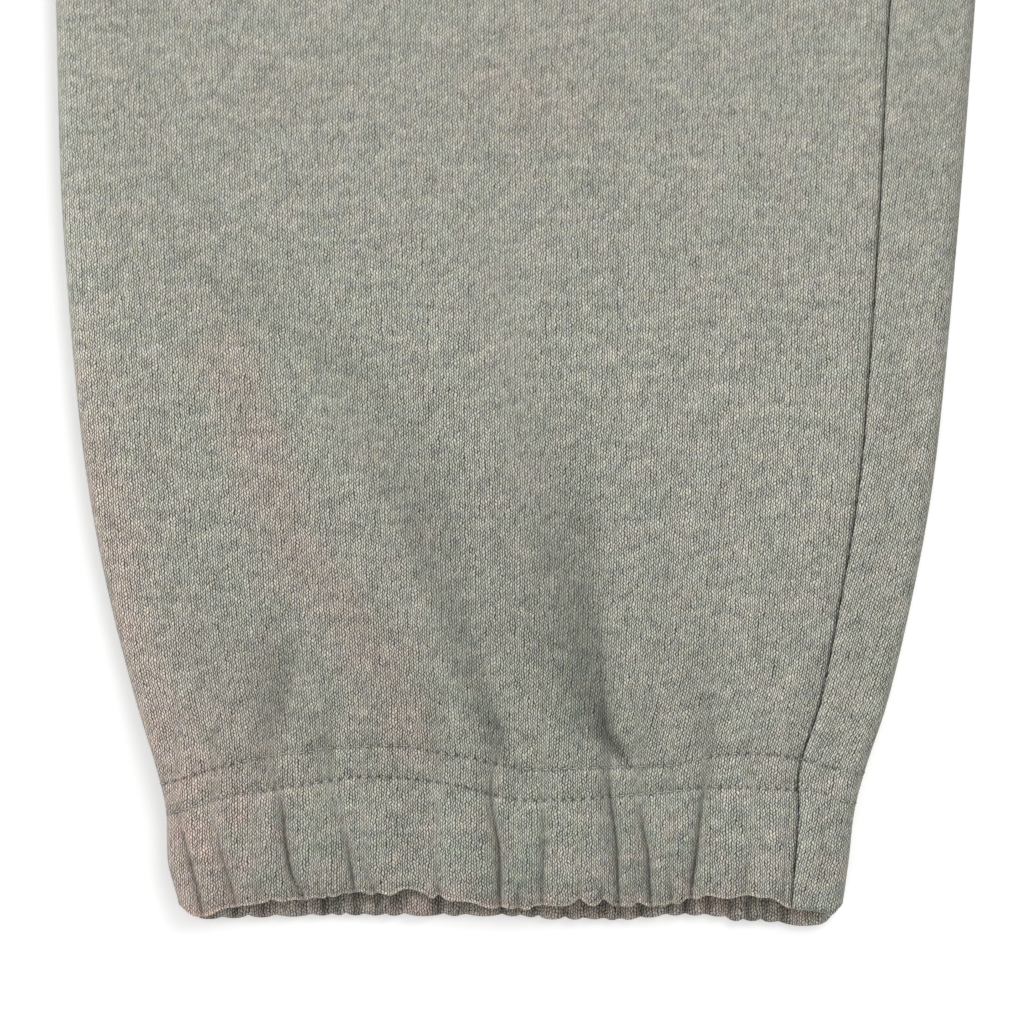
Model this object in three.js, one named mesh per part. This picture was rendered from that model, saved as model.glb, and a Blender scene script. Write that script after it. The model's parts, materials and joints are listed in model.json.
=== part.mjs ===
// Jogger sweatpants in heavy fleece, lying flat with the front up.
// Millimetres. X runs across the garment, Y from the hems to the waist, Z up from the surface that it lies on.
// A leg is worked out in its own plane: u is the distance out from the leg's axis, v is the height up the leg
// from the hem. The left leg lies at +X and the right leg at -X.

import * as THREE from "three";

// Driving dimensions
const legAxis = 155;
const crotch = 745;
const waistSeam = 985;
const waistTop = 1030;
const waistHalfWidth = 205;
const cloth = 2;
const doubledCloth = 3.4;
const turnUp = 42;
const hemRow = 31.2;
const seamGap = 0.3;

// Outer radius of the soft fold along an edge: of a leg, of the hem, of the cloth below the waistband
const legRoll = 3.2;
const hemRoll = 4.2;
const waistRoll = 3.8;

// Heights up a leg where the hem's billow ends, where the cloth has settled flat, and where the stitch row's wave
// no longer shows in it
const billowTop = 62;
const settled = 150;
const waveTop = 75;
const hipTop = 900;

// How finely each stretch of a section is divided
const divisions = { front: 22, innerFold: 2, strip: 2, outerFold: 4, floor: 2, casingRows: 3 };

const smooth = (low, high, x) => THREE.MathUtils.smoothstep(x, low, high);
const mix = THREE.MathUtils.lerp;

// A column of a table against its key, through smooth slopes
function along(table, key, column, x) {
  const last = table.length - 1;
  if (x <= table[0][key]) return table[0][column];
  if (x >= table[last][key]) return table[last][column];
  const i = table.findIndex((row) => row[key] > x) - 1;
  const slope = (a, b) => (table[b][column] - table[a][column]) / (table[b][key] - table[a][key]);
  const startSlope = slope(Math.max(i - 1, 0), i + 1);
  const endSlope = slope(i, Math.min(i + 2, last));
  const step = table[i + 1][key] - table[i][key];
  const t = (x - table[i][key]) / step;
  const start = table[i][column] * (1 + 2 * t) * (1 - t) ** 2 + startSlope * step * t * (1 - t) ** 2;
  return start + table[i + 1][column] * t * t * (3 - 2 * t) + endSlope * step * t * t * (t - 1);
}

// Outline of a leg lying flat: its inner and outer edge, and how far in from the outer edge the side seam lies
const outline = [
  { v: -5, inner: -78, outer: 78, wrap: 12 },
  { v: 5, inner: -79.5, outer: 78.9, wrap: 12.4 },
  { v: 14, inner: -81.7, outer: 80.5, wrap: 12.8 },
  { v: 26, inner: -82.1, outer: 81.9, wrap: 13.4 },
  { v: 36, inner: -84.3, outer: 84.5, wrap: 15.8 },
  { v: 52, inner: -89.3, outer: 89.8, wrap: 16 },
  { v: 76, inner: -95.5, outer: 95.5, wrap: 16.9 },
  { v: 100, inner: -100.2, outer: 100, wrap: 17.4 },
  { v: 124, inner: -103.3, outer: 102.9, wrap: 17.9 },
  { v: 171, inner: -106.9, outer: 107.1, wrap: 19 },
  { v: 219, inner: -108.1, outer: 110.7, wrap: 20.2 },
  { v: 340, inner: -112, outer: 119, wrap: 18 },
  { v: 450, inner: -121, outer: 126, wrap: 16 },
  { v: 560, inner: -131, outer: 134, wrap: 14 },
  { v: 660, inner: -140.5, outer: 141, wrap: 12 },
  { v: 715, inner: -147.5, outer: 144.5, wrap: 11 },
  { v: crotch, inner: -legAxis, outer: 145, wrap: 11 },
  { v: 800, inner: -legAxis, outer: 140, wrap: 10 },
  { v: 850, inner: -legAxis, outer: 130, wrap: 10 },
  { v: 900, inner: -legAxis, outer: 113, wrap: 10 },
  { v: 940, inner: -legAxis, outer: 92, wrap: 9 },
  { v: 965, inner: -legAxis, outer: 73, wrap: 9 },
  { v: waistSeam, inner: -legAxis, outer: waistHalfWidth - legAxis, wrap: 9 },
];

// Lower edge of the hem across a leg, and the wave of the stitch row that closes the casing
const frontHem = [
  { u: -80, v: 3.2 },
  { u: -75, v: 2.4 },
  { u: -60, v: 5 },
  { u: -44, v: 6.2 },
  { u: -26, v: 7.7 },
  { u: -19, v: 5.7 },
  { u: -6, v: 3.3 },
  { u: 16, v: 4.8 },
  { u: 27, v: 3.6 },
  { u: 49, v: 6.2 },
  { u: 62, v: 5.7 },
  { u: 70, v: 2.1 },
  { u: 80, v: 3.6 },
];
const backHem = [
  { u: -80, v: 3 },
  { u: -76, v: 1 },
  { u: -63, v: 0.2 },
  { u: 0, v: 0.7 },
  { u: 28, v: 0.2 },
  { u: 50, v: 1.1 },
  { u: 67, v: -1.7 },
  { u: 76, v: 0.5 },
  { u: 80, v: 3.6 },
];
const stitchRow = [
  { u: -81, v: 25.5 },
  { u: -71, v: 28.6 },
  { u: -50, v: 32.2 },
  { u: -30, v: 34.2 },
  { u: -14, v: 32.6 },
  { u: 2, v: 29 },
  { u: 17, v: 29 },
  { u: 48, v: 31.9 },
  { u: 73, v: 31 },
  { u: 82, v: 28.8 },
];
const scallopPitch = 6.1;
const scallopDepth = 0.5;

// Gathers in the hem: a crease's place at the bottom and top of the casing, how far up it reaches, depth and width
const leftGathers = [
  { low: -74.5, high: -78, reach: 1, depth: 1.2, width: 2.6 },
  { low: -65.5, high: -69, reach: 0.5, depth: 1, width: 2.6 },
  { low: -51.2, high: -54.3, reach: 1, depth: 2.1, width: 2.8 },
  { low: -37.1, high: -39.2, reach: 0.8, depth: 1.4, width: 2.4 },
  { low: -24.3, high: -24.3, reach: 1, depth: 1, width: 4 },
  { low: -2.4, high: -4.6, reach: 1, depth: 2.2, width: 2.8 },
  { low: 7.6, high: 8.2, reach: 0.8, depth: 1.4, width: 2.4 },
  { low: 25.7, high: 23.8, reach: 1, depth: 2, width: 2.6 },
  { low: 33.3, high: 30.8, reach: 0.9, depth: 1.9, width: 2.6 },
  { low: 43.1, high: 45.6, reach: 1, depth: 2, width: 2.8 },
  { low: 56, high: 57, reach: 0.6, depth: 0.9, width: 3 },
];
const rightGathers = [
  { low: -70, high: -72, reach: 1, depth: 1.5, width: 2.6 },
  { low: -57, high: -56, reach: 0.7, depth: 1.2, width: 2.6 },
  { low: -44, high: -46.5, reach: 1, depth: 2, width: 2.8 },
  { low: -30, high: -29, reach: 1, depth: 1.6, width: 3 },
  { low: -17, high: -19.5, reach: 0.8, depth: 1.2, width: 2.6 },
  { low: -6, high: -4, reach: 1, depth: 2.1, width: 2.8 },
  { low: 11, high: 9, reach: 1, depth: 1.8, width: 2.6 },
  { low: 21, high: 22.5, reach: 0.7, depth: 1.1, width: 2.4 },
  { low: 34, high: 32, reach: 1, depth: 2.1, width: 2.8 },
  { low: 49, high: 51, reach: 1, depth: 1.7, width: 3 },
  { low: 60, high: 59, reach: 0.6, depth: 1, width: 2.6 },
];

// Folds in a leg's front: each runs from its low to its high end, bowed sideways, and rises or sinks by its lift,
// most at its peak
const sharedFolds = [
  { vLow: 300, vHigh: 470, uLow: -92, uHigh: 10, bow: 12, lift: 0.9, width: 20, peak: 0.4 },
  { vLow: 350, vHigh: 560, uLow: 60, uHigh: -30, bow: -10, lift: -0.5, width: 18, peak: 0.5 },
  { vLow: 560, vHigh: 750, uLow: -40, uHigh: -146, bow: -8, lift: 1.2, width: 14, peak: 0.7 },
  { vLow: 600, vHigh: 775, uLow: 10, uHigh: -138, bow: -14, lift: 1, width: 13, peak: 0.7 },
  { vLow: 690, vHigh: 800, uLow: 90, uHigh: -120, bow: 16, lift: 0.9, width: 12, peak: 0.8 },
  { vLow: 850, vHigh: 990, uLow: -116, uHigh: -122, bow: 3, lift: 1.2, width: 8, peak: 0.9 },
  { vLow: 840, vHigh: 990, uLow: -84, uHigh: -93, bow: -3, lift: 1.3, width: 8, peak: 0.9 },
  { vLow: 860, vHigh: 990, uLow: -48, uHigh: -62, bow: 2, lift: 1.2, width: 8, peak: 0.9 },
  { vLow: 830, vHigh: 990, uLow: -6, uHigh: -33, bow: 4, lift: 1.3, width: 8, peak: 0.9 },
  { vLow: 850, vHigh: 990, uLow: 34, uHigh: -7, bow: 5, lift: 1.2, width: 8, peak: 0.9 },
  { vLow: 860, vHigh: 985, uLow: 76, uHigh: 16, bow: 6, lift: 1, width: 8, peak: 0.85 },
];
const leftFolds = [
  { vLow: 32, vHigh: 112, uLow: 28, uHigh: 14, bow: -4, lift: -3, width: 4.6, peak: 0.3 },
  { vLow: 30, vHigh: 90, uLow: -2, uHigh: -18, bow: 0, lift: -1.9, width: 5.5, peak: 0.3 },
  { vLow: 30, vHigh: 62, uLow: -57, uHigh: -56, bow: -2, lift: -1.6, width: 4.5, peak: 0.35 },
  { vLow: 30, vHigh: 62, uLow: 46, uHigh: 48, bow: 0, lift: -1.5, width: 4.5, peak: 0.35 },
  { vLow: 40, vHigh: 165, uLow: -12, uHigh: -72, bow: 10, lift: -1, width: 11, peak: 0.5 },
  { vLow: 45, vHigh: 130, uLow: 2, uHigh: -34, bow: 6, lift: 1.1, width: 9, peak: 0.35 },
  { vLow: 34, vHigh: 100, uLow: 60, uHigh: 62, bow: 3, lift: 0.8, width: 10, peak: 0.3 },
  { vLow: 32, vHigh: 90, uLow: -34, uHigh: -40, bow: 2, lift: 0.9, width: 9, peak: 0.3 },
  ...sharedFolds,
];
const rightFolds = [
  { vLow: 32, vHigh: 105, uLow: -5, uHigh: 6, bow: 3, lift: -2.8, width: 4.6, peak: 0.3 },
  { vLow: 30, vHigh: 84, uLow: -46, uHigh: -38, bow: -2, lift: -2, width: 5.5, peak: 0.3 },
  { vLow: 30, vHigh: 66, uLow: 33, uHigh: 36, bow: 1, lift: -1.7, width: 4.5, peak: 0.35 },
  { vLow: 42, vHigh: 170, uLow: 14, uHigh: -60, bow: 9, lift: -0.9, width: 11, peak: 0.5 },
  { vLow: 36, vHigh: 110, uLow: -26, uHigh: -18, bow: -3, lift: 1, width: 9, peak: 0.3 },
  { vLow: 34, vHigh: 96, uLow: 54, uHigh: 60, bow: 3, lift: 0.9, width: 10, peak: 0.3 },
  ...sharedFolds,
];

// How much of a fold there is at a place on the leg
function foldAt(fold, u, v) {
  const t = (v - fold.vLow) / (fold.vHigh - fold.vLow);
  if (t <= 0 || t >= 1) return 0;
  const centre = mix(fold.uLow, fold.uHigh, t) + fold.bow * 4 * t * (1 - t);
  const strength = t < fold.peak ? smooth(0, fold.peak, t) : 1 - smooth(fold.peak, 1, t);
  return fold.lift * strength * Math.exp(-(((u - centre) / fold.width) ** 2));
}

// The edges of a leg at a height, with the turn of the cloth there
function edgesAt(v, roll) {
  const outer = along(outline, "v", "outer", v);
  const curl = 0.25 + 0.75 * (1 - smooth(crotch - 5, crotch + 40, v));
  const inner = Math.max(along(outline, "v", "inner", v), seamGap / 2 - legAxis);
  const innerTurn = inner + roll * Math.sin((curl * Math.PI) / 2);
  const seam = outer - along(outline, "v", "wrap", v);
  return { innerTurn, outerTurn: outer - roll, seam, curl };
}

const panelRoll = (v) =>
  legRoll +
  (hemRoll - legRoll) * (1 - smooth(hemRow, billowTop, v)) +
  (waistRoll - legRoll) * smooth(hipTop, waistSeam, v);
const panelWall = (v) => cloth + (doubledCloth - cloth) * (1 - smooth(turnUp - 3, turnUp + 5, v));

const deepestSag = 1.5;

// Height of the upper layer's outer face over a leg's panels. It sags between the rolled edges down the leg,
// and billows where the hem gathers it.
function panelTop(leg, u, v) {
  const roll = panelRoll(v);
  const edges = edgesAt(v, roll);
  const inside = smooth(0, 12, u - edges.innerTurn) * smooth(0, 8, edges.outerTurn - u);
  const wellInside = smooth(0, 34, u - edges.innerTurn) * smooth(0, 26, edges.outerTurn - u);
  const sag = deepestSag * smooth(billowTop, settled, v) * (1 - smooth(hipTop, waistSeam, v));
  const folds = leg.folds.reduce((sum, fold) => sum + foldAt(fold, u, v), 0);
  const touching = 2 * panelWall(v) + seamGap;
  return Math.max(2 * roll - sag * wellInside + folds * inside, touching);
}

// Height of the upper layer's outer face over the hem's casing, puffed between its creases
function casingTop(leg, u, v) {
  const edges = edgesAt(v, hemRoll);
  const inside = smooth(0, 6, u - edges.innerTurn) * smooth(0, 5, edges.outerTurn - u);
  const low = along(frontHem, "u", "v", u);
  const t = THREE.MathUtils.clamp((v - low) / (along(stitchRow, "u", "v", u) - low), 0, 1);
  const puff = 1.7 * Math.sin(Math.PI * t) ** 0.8 - 0.6 * (1 - t) - 0.3 * t;
  let creases = 0;
  for (const gather of leg.gathers) {
    const away = Math.abs(u - mix(gather.low, gather.high, t)) / gather.width;
    creases += gather.depth * Math.exp(-away) * (1 - smooth(gather.reach - 0.2, gather.reach + 0.2, t));
  }
  const touching = 2 * doubledCloth + seamGap;
  return Math.max(2 * hemRoll + (puff - creases) * inside, touching);
}

// A point of a wall on a soft fold: turned is its angle round the fold, from +X towards +Z, for each face
function onFold(centreU, roll, wall, turned) {
  const face = (radius) => ({
    u: centreU + radius * Math.cos(turned(radius)),
    z: roll + radius * Math.sin(turned(radius)),
  });
  return { outer: face(roll), inner: face(roll - wall) };
}
const level = (u, outerZ, innerZ) => ({ outer: { u, z: outerZ }, inner: { u, z: innerZ } });

// The columns of a section, each a function from a height to the wall's two points there.
// A front runs from the inseam, over the inner fold, to the side seam.
const steps = (count) => Array.from({ length: count + 1 }, (_, i) => i / count);
const innerSwing = (curl, radius, t) => t * ((curl * Math.PI) / 2 - Math.asin(seamGap / 2 / radius));

function frontColumns(cut, across) {
  const fold = steps(divisions.innerFold)
    .slice(1)
    .reverse()
    .map((t) => ({
      side: -1,
      at: (v) => {
        const edges = edgesAt(v, cut.roll(v));
        const turned = (radius) => Math.PI / 2 + innerSwing(edges.curl, radius, t);
        return onFold(edges.innerTurn, cut.roll(v), cut.wall(v), turned);
      },
    }));
  const top = across.map((t) => ({
    side: 0,
    at: (v) => {
      const edges = edgesAt(v, cut.roll(v));
      const u = mix(edges.innerTurn, edges.seam - seamGap / 2, t);
      const z = cut.top(u, v);
      return level(u, z, z - cut.wall(v));
    },
  }));
  return [...fold, ...top];
}

// A back runs from the side seam over the outer fold, along the floor, and up the inner fold to the inseam.
// Its part of the way from the outer to the inner edge says how far along the floor a column is.
function backColumns(cut, floorSteps) {
  const strip = steps(divisions.strip).map((t) => ({
    side: 0,
    at: (v) => {
      const edges = edgesAt(v, cut.roll(v));
      const u = mix(edges.seam + seamGap / 2, edges.outerTurn, t);
      const z = cut.top(u, v);
      return level(u, z, z - cut.wall(v));
    },
  }));
  const outer = steps(divisions.outerFold).slice(1, -1).map((t) => ({
    side: 1,
    turn: t,
    at: (v) => {
      const edges = edgesAt(v, cut.roll(v));
      return onFold(edges.outerTurn, cut.roll(v), cut.wall(v), () => Math.PI * (0.5 - t));
    },
  }));
  const floor = steps(floorSteps).map((t) => ({
    floor: t,
    at: (v) => {
      const edges = edgesAt(v, cut.roll(v));
      return level(mix(edges.outerTurn, edges.innerTurn, t), 0, cut.wall(v));
    },
  }));
  const inner = steps(divisions.innerFold).slice(1).map((t) => ({
    floor: 1,
    at: (v) => {
      const edges = edgesAt(v, cut.roll(v));
      const turned = (radius) => -Math.PI / 2 - innerSwing(edges.curl, radius, t);
      return onFold(edges.innerTurn, cut.roll(v), cut.wall(v), turned);
    },
  }));
  return [...strip, ...outer, ...floor, ...inner];
}

// Height of the stitch row at a column. Under the leg it runs straight from edge to edge.
const rowEnds = { inner: stitchRow[0].v, outer: stitchRow[stitchRow.length - 1].v };
function rowAt(column) {
  if (column.floor !== undefined) return mix(rowEnds.outer, rowEnds.inner, column.floor);
  if (column.side === -1) return rowEnds.inner;
  if (column.side === 1) return rowEnds.outer;
  return along(stitchRow, "u", "v", column.at(hemRow).outer.u);
}

// Lower edge of the casing at a column: the front's fold lies above the back's, which has fine scallops
function lowerEdgeAt(column) {
  const u = column.at(hemRow / 2).outer.u;
  const front = along(frontHem, "u", "v", u);
  const scallop = scallopDepth * Math.abs(Math.sin((Math.PI * u) / scallopPitch));
  const back = along(backHem, "u", "v", u) + scallopDepth - scallop;
  if (column.turn !== undefined) return mix(front, back, column.turn);
  return column.floor === undefined ? front : back;
}

// A closed wall through rows of points, each with an outer and an inner place
function wall(rows, mirrored) {
  const across = rows[0].length;
  const last = { row: rows.length - 1, column: across - 1 };
  const positions = [];
  for (const row of rows) {
    for (const point of row) positions.push(...point.outer);
    for (const point of row) positions.push(...point.inner);
  }
  const at = (row, column, layer) => (row * 2 + layer) * across + column;
  const triangles = [];
  const quad = (a, b, c, d) => triangles.push(...(mirrored ? [a, c, b, a, d, c] : [a, b, c, a, c, d]));
  for (let r = 0; r < last.row; r++) {
    for (let c = 0; c < last.column; c++) {
      quad(at(r, c, 0), at(r, c + 1, 0), at(r + 1, c + 1, 0), at(r + 1, c, 0));
      quad(at(r, c, 1), at(r + 1, c, 1), at(r + 1, c + 1, 1), at(r, c + 1, 1));
    }
    quad(at(r, 0, 0), at(r + 1, 0, 0), at(r + 1, 0, 1), at(r, 0, 1));
    quad(at(r, across - 1, 0), at(r, across - 1, 1), at(r + 1, across - 1, 1), at(r + 1, across - 1, 0));
  }
  for (let c = 0; c < last.column; c++) {
    quad(at(0, c, 0), at(0, c, 1), at(0, c + 1, 1), at(0, c + 1, 0));
    quad(at(last.row, c, 0), at(last.row, c + 1, 0), at(last.row, c + 1, 1), at(last.row, c, 1));
  }
  const geometry = new THREE.BufferGeometry();
  geometry.setAttribute("position", new THREE.Float32BufferAttribute(positions, 3));
  geometry.setIndex(triangles);
  geometry.computeVertexNormals();
  return geometry;
}

// A point of a leg's section set in the garment
function placed(leg, point, v) {
  const place = (face) => [leg.side * (legAxis + face.u), v, face.z];
  return { outer: place(point.outer), inner: place(point.inner) };
}

// A doubled edge is a fold of the cloth, so its two faces draw together there
function pinched(point, share) {
  const middle = point.outer.map((x, i) => (x + point.inner[i]) / 2);
  const drawn = (face) => face.map((x, i) => mix(x, middle[i], share));
  return { outer: drawn(point.outer), inner: drawn(point.inner) };
}
const foldedEdge = [
  { up: 0, pinch: 0.6 },
  { up: 1.6, pinch: 0 },
];

// Rows of a leg's panels up to the waistband, close together where the hem gathers the cloth
const rowBands = [
  { to: 60, count: 5 },
  { to: 120, count: 5 },
  { to: 220, count: 3 },
  { to: 720, count: 7 },
  { to: 790, count: 3 },
  { to: 940, count: 3 },
  { to: waistSeam - seamGap / 2, count: 2 },
];
const panelHeights = [hemRow + seamGap / 2];
for (const band of rowBands) {
  const start = panelHeights[panelHeights.length - 1];
  for (let i = 1; i <= band.count; i++) panelHeights.push(mix(start, band.to, i / band.count));
}

function panel(leg, columns) {
  const rows = panelHeights.map((height) =>
    columns.map((column) => {
      const v = height + (rowAt(column) - hemRow) * (1 - smooth(hemRow, waveTop, height));
      return placed(leg, column.at(v), v);
    }),
  );
  return wall(rows, leg.side < 0);
}

function casing(leg, columns) {
  const lows = columns.map(lowerEdgeAt);
  const highs = columns.map((column) => rowAt(column) - seamGap / 2);
  const edge = foldedEdge.map((step) =>
    columns.map((column, c) => {
      const v = lows[c] + step.up;
      return pinched(placed(leg, column.at(v), v), step.pinch);
    }),
  );
  const start = foldedEdge[foldedEdge.length - 1].up;
  const body = steps(divisions.casingRows)
    .slice(1)
    .map((t) =>
      columns.map((column, c) => {
        const v = mix(lows[c] + start, highs[c], t);
        return placed(leg, column.at(v), v);
      }),
    );
  return wall([...edge, ...body], leg.side < 0);
}

// Places across the casing's front: each crease, a point on each flank, and the puff to the next one
function gatherPlaces(leg) {
  const edges = edgesAt(hemRow / 2, hemRoll);
  const places = [0];
  leg.gathers.forEach((gather, i) => {
    const centre = (gather.low + gather.high) / 2;
    const next = leg.gathers[i + 1];
    const far = next ? (next.low + next.high) / 2 : edges.seam;
    places.push(centre - 0.7 * gather.width, centre, centre + 0.7 * gather.width);
    places.push((centre + far) / 2);
  });
  places.push(edges.seam);
  const fractions = places.map((u, i) => (i ? (u - edges.innerTurn) / (edges.seam - edges.innerTurn) : 0));
  return fractions.filter((t, i) => i === 0 || t > 0.004);
}

// Waistband: doubled cloth round an elastic. Its front turns over both edges to the middle of their folds.
const waistGatherCount = 23;
const waistGatherPitch = 17;
const waistGathers = Array.from({ length: waistGatherCount }, (_, i) => ({
  x: (i - (waistGatherCount - 1) / 2) * waistGatherPitch + 2.4 * Math.sin(2.4 * i),
  depth: 1.5 + 0.5 * Math.sin(1.7 * i + 1),
  width: 3,
}));

function waistTopAt(x, t) {
  const inside = smooth(0, 8, waistHalfWidth - hemRoll - Math.abs(x));
  const puff = 1.5 * Math.sin(Math.PI * t) ** 0.8 - 0.4;
  const creases = waistGathers.reduce((sum, g) => sum + g.depth * Math.exp(-Math.abs(x - g.x) / g.width), 0);
  return Math.max(2 * hemRoll + (puff - creases) * inside, 2 * doubledCloth + seamGap);
}

// The rows of a waistband half: t is how far up it is, and the folded edge is at the top
function waistRows() {
  const low = waistSeam + seamGap / 2;
  const high = waistTop - foldedEdge[1].up;
  const body = steps(divisions.casingRows).map((t) => ({ v: mix(low, high, t), pinch: 0 }));
  const edge = { v: waistTop, pinch: foldedEdge[0].pinch };
  return [...body, edge].map((row) => ({ ...row, t: (row.v - low) / (waistTop - low) }));
}

function waistFold(sign, facing, share) {
  const turned = (radius) => {
    const swing = innerSwing(1, radius, share);
    return facing * (Math.PI / 2 + (sign < 0 ? swing : -swing));
  };
  return onFold(sign * (waistHalfWidth - hemRoll), hemRoll, doubledCloth, turned);
}

function waistbandHalf(facing, across, heightAt) {
  const folds = [1, 0.5];
  const columns = [
    ...folds.map((share) => () => waistFold(-1, facing, share)),
    ...across.map((x) => (t) => level(x, ...heightAt(x, t))),
    ...folds.reverse().map((share) => () => waistFold(1, facing, share)),
  ];
  const rows = waistRows().map((row) =>
    columns.map((column) => {
      const point = column(row.t);
      const place = (face) => [face.u, row.v, face.z];
      return pinched({ outer: place(point.outer), inner: place(point.inner) }, row.pinch);
    }),
  );
  return wall(rows, facing < 0);
}

function waistbandFront() {
  const edge = waistHalfWidth - hemRoll;
  const places = waistGathers.flatMap((g, i) => {
    const next = waistGathers[i + 1];
    return next ? [g.x, (g.x + next.x) / 2] : [g.x];
  });
  const heights = (x, t) => {
    const z = waistTopAt(x, t);
    return [z, z - doubledCloth];
  };
  return waistbandHalf(1, [-edge, ...places, edge], heights);
}

function waistbandBack() {
  const edge = waistHalfWidth - hemRoll;
  return waistbandHalf(-1, [-edge, 0, edge], () => [0, doubledCloth]);
}

// Finish
const heatherGrey = 0x9a9a90;
const fleece = new THREE.MeshStandardMaterial({ color: heatherGrey, roughness: 0.95, metalness: 0 });

function named(name, geometry) {
  const mesh = new THREE.Mesh(geometry, fleece.clone());
  mesh.name = name;
  return mesh;
}

// The garment, centred on its own box
const garment = new THREE.Group();
const legs = [
  { name: "left", side: 1, folds: leftFolds, gathers: leftGathers },
  { name: "right", side: -1, folds: rightFolds, gathers: rightGathers },
];
const hemWidth = 150;
const scallopSteps = Math.round(hemWidth / scallopPitch) * 2;
for (const leg of legs) {
  const panelCut = { roll: panelRoll, wall: panelWall, top: (u, v) => panelTop(leg, u, v) };
  const casingCut = { roll: () => hemRoll, wall: () => doubledCloth, top: (u, v) => casingTop(leg, u, v) };
  garment.add(
    named(`front_panel_${leg.name}`, panel(leg, frontColumns(panelCut, steps(divisions.front)))),
    named(`back_panel_${leg.name}`, panel(leg, backColumns(panelCut, divisions.floor))),
    named(`hem_casing_front_${leg.name}`, casing(leg, frontColumns(casingCut, gatherPlaces(leg)))),
    named(`hem_casing_back_${leg.name}`, casing(leg, backColumns(casingCut, scallopSteps))),
  );
}
garment.add(named("waistband_front", waistbandFront()), named("waistband_back", waistbandBack()));

const box = new THREE.Box3().setFromObject(garment);
garment.position.y = -(box.min.y + box.max.y) / 2;

const sweatpants = new THREE.Group();
sweatpants.add(garment);

export default sweatpants;
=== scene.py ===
import json
import math

import bmesh
import bpy
import numpy as np
from mathutils import Matrix, Vector

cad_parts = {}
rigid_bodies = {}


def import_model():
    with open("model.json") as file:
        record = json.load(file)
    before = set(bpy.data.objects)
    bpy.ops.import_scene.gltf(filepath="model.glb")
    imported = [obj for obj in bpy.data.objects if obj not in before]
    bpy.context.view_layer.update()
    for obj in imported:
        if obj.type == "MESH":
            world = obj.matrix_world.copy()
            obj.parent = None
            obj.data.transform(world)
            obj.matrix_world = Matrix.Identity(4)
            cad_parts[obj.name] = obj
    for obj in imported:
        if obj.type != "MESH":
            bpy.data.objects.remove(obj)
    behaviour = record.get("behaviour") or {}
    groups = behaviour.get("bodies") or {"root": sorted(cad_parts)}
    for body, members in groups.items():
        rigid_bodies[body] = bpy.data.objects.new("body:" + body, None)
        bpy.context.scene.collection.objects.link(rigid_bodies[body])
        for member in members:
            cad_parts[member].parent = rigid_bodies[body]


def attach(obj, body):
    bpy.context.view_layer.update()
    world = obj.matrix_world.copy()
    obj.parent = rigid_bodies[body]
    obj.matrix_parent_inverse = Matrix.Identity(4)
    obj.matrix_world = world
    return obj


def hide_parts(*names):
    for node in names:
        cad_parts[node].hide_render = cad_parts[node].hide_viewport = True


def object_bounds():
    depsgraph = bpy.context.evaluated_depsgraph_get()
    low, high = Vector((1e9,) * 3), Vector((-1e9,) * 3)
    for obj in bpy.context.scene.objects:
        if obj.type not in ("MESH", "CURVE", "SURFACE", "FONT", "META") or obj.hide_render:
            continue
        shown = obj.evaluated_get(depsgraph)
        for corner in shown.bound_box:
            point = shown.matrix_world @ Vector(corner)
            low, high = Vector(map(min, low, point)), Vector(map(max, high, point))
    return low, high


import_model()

cad_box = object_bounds()

# Where the garment lies
# Jogger sweatpants lie flat with the front up. A leg is worked out in millimetres in its own plane: u is the
# distance out from the leg's axis and v the height up the leg from the hem. The left leg lies at +X.
mm = 0.001
leg_axis = 155
waist_top = 1030


def garment_x(side, u):
    return side * (leg_axis + u) * mm


def garment_y(v):
    return cad_box[1].y - (waist_top - v) * mm


# Camera
# It looks straight down on the hem of the left leg, from so far that the edges hardly lean.
view_across = 0.476
view_up = 97.1
view_centre = (garment_x(1, view_across), garment_y(view_up))
camera_height = 1.6
cloth_height = 0.004
view_width = 0.2434
film_width = 36
camera = bpy.data.objects.new("camera", bpy.data.cameras.new("camera"))
camera.data.sensor_width = film_width
camera.data.lens = film_width * (camera_height - cloth_height) / view_width
camera.location = (*view_centre, camera_height)
bpy.context.scene.collection.objects.link(camera)
bpy.context.scene.camera = camera

# Legs
# Each leg is a tube of heavy knitted fleece lying flat, cut as a front and a back. The back wraps round the
# outer edge, so the side seam lies on top. The tube is worked out once, with every crease, and both pieces
# are cut from it.
crotch = 745
waist_seam = 985
leg_roll = 3.2
hem_roll = 4.2
waist_roll = 3.8
hem_row = 31.2
billow_top = 62
settled = 150
wave_top = 75
hip_top = 900
deepest_sag = 1.5
fleece = 1.6

# Height, inner edge, outer edge, and how far in from the outer edge the side seam lies
outline = [
    (-4, -75.5, 77.6, 10.4), (3, -78.3, 78.9, 12), (6, -79.2, 79.4, 12.4), (14, -81.3, 80.5, 12.8),
    (26, -81.7, 81.9, 13.4), (36, -84, 84.5, 15.8), (52, -88.9, 89.8, 16), (76, -95.1, 95.5, 16.9),
    (100, -99.8, 100, 17.4), (124, -102.9, 102.9, 17.9), (171, -106.6, 107.1, 19), (219, -108, 110.7, 20.2),
    (340, -112, 119, 18), (450, -121, 126, 16), (560, -131, 134, 14), (660, -140.5, 141, 12),
    (715, -147.5, 144.5, 11),
    (crotch, -155, 145, 11), (800, -155, 140, 10), (850, -155, 130, 10), (900, -155, 113, 10),
    (940, -155, 92, 9), (965, -155, 73, 9), (waist_seam, -155, 50, 9),
]

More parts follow.
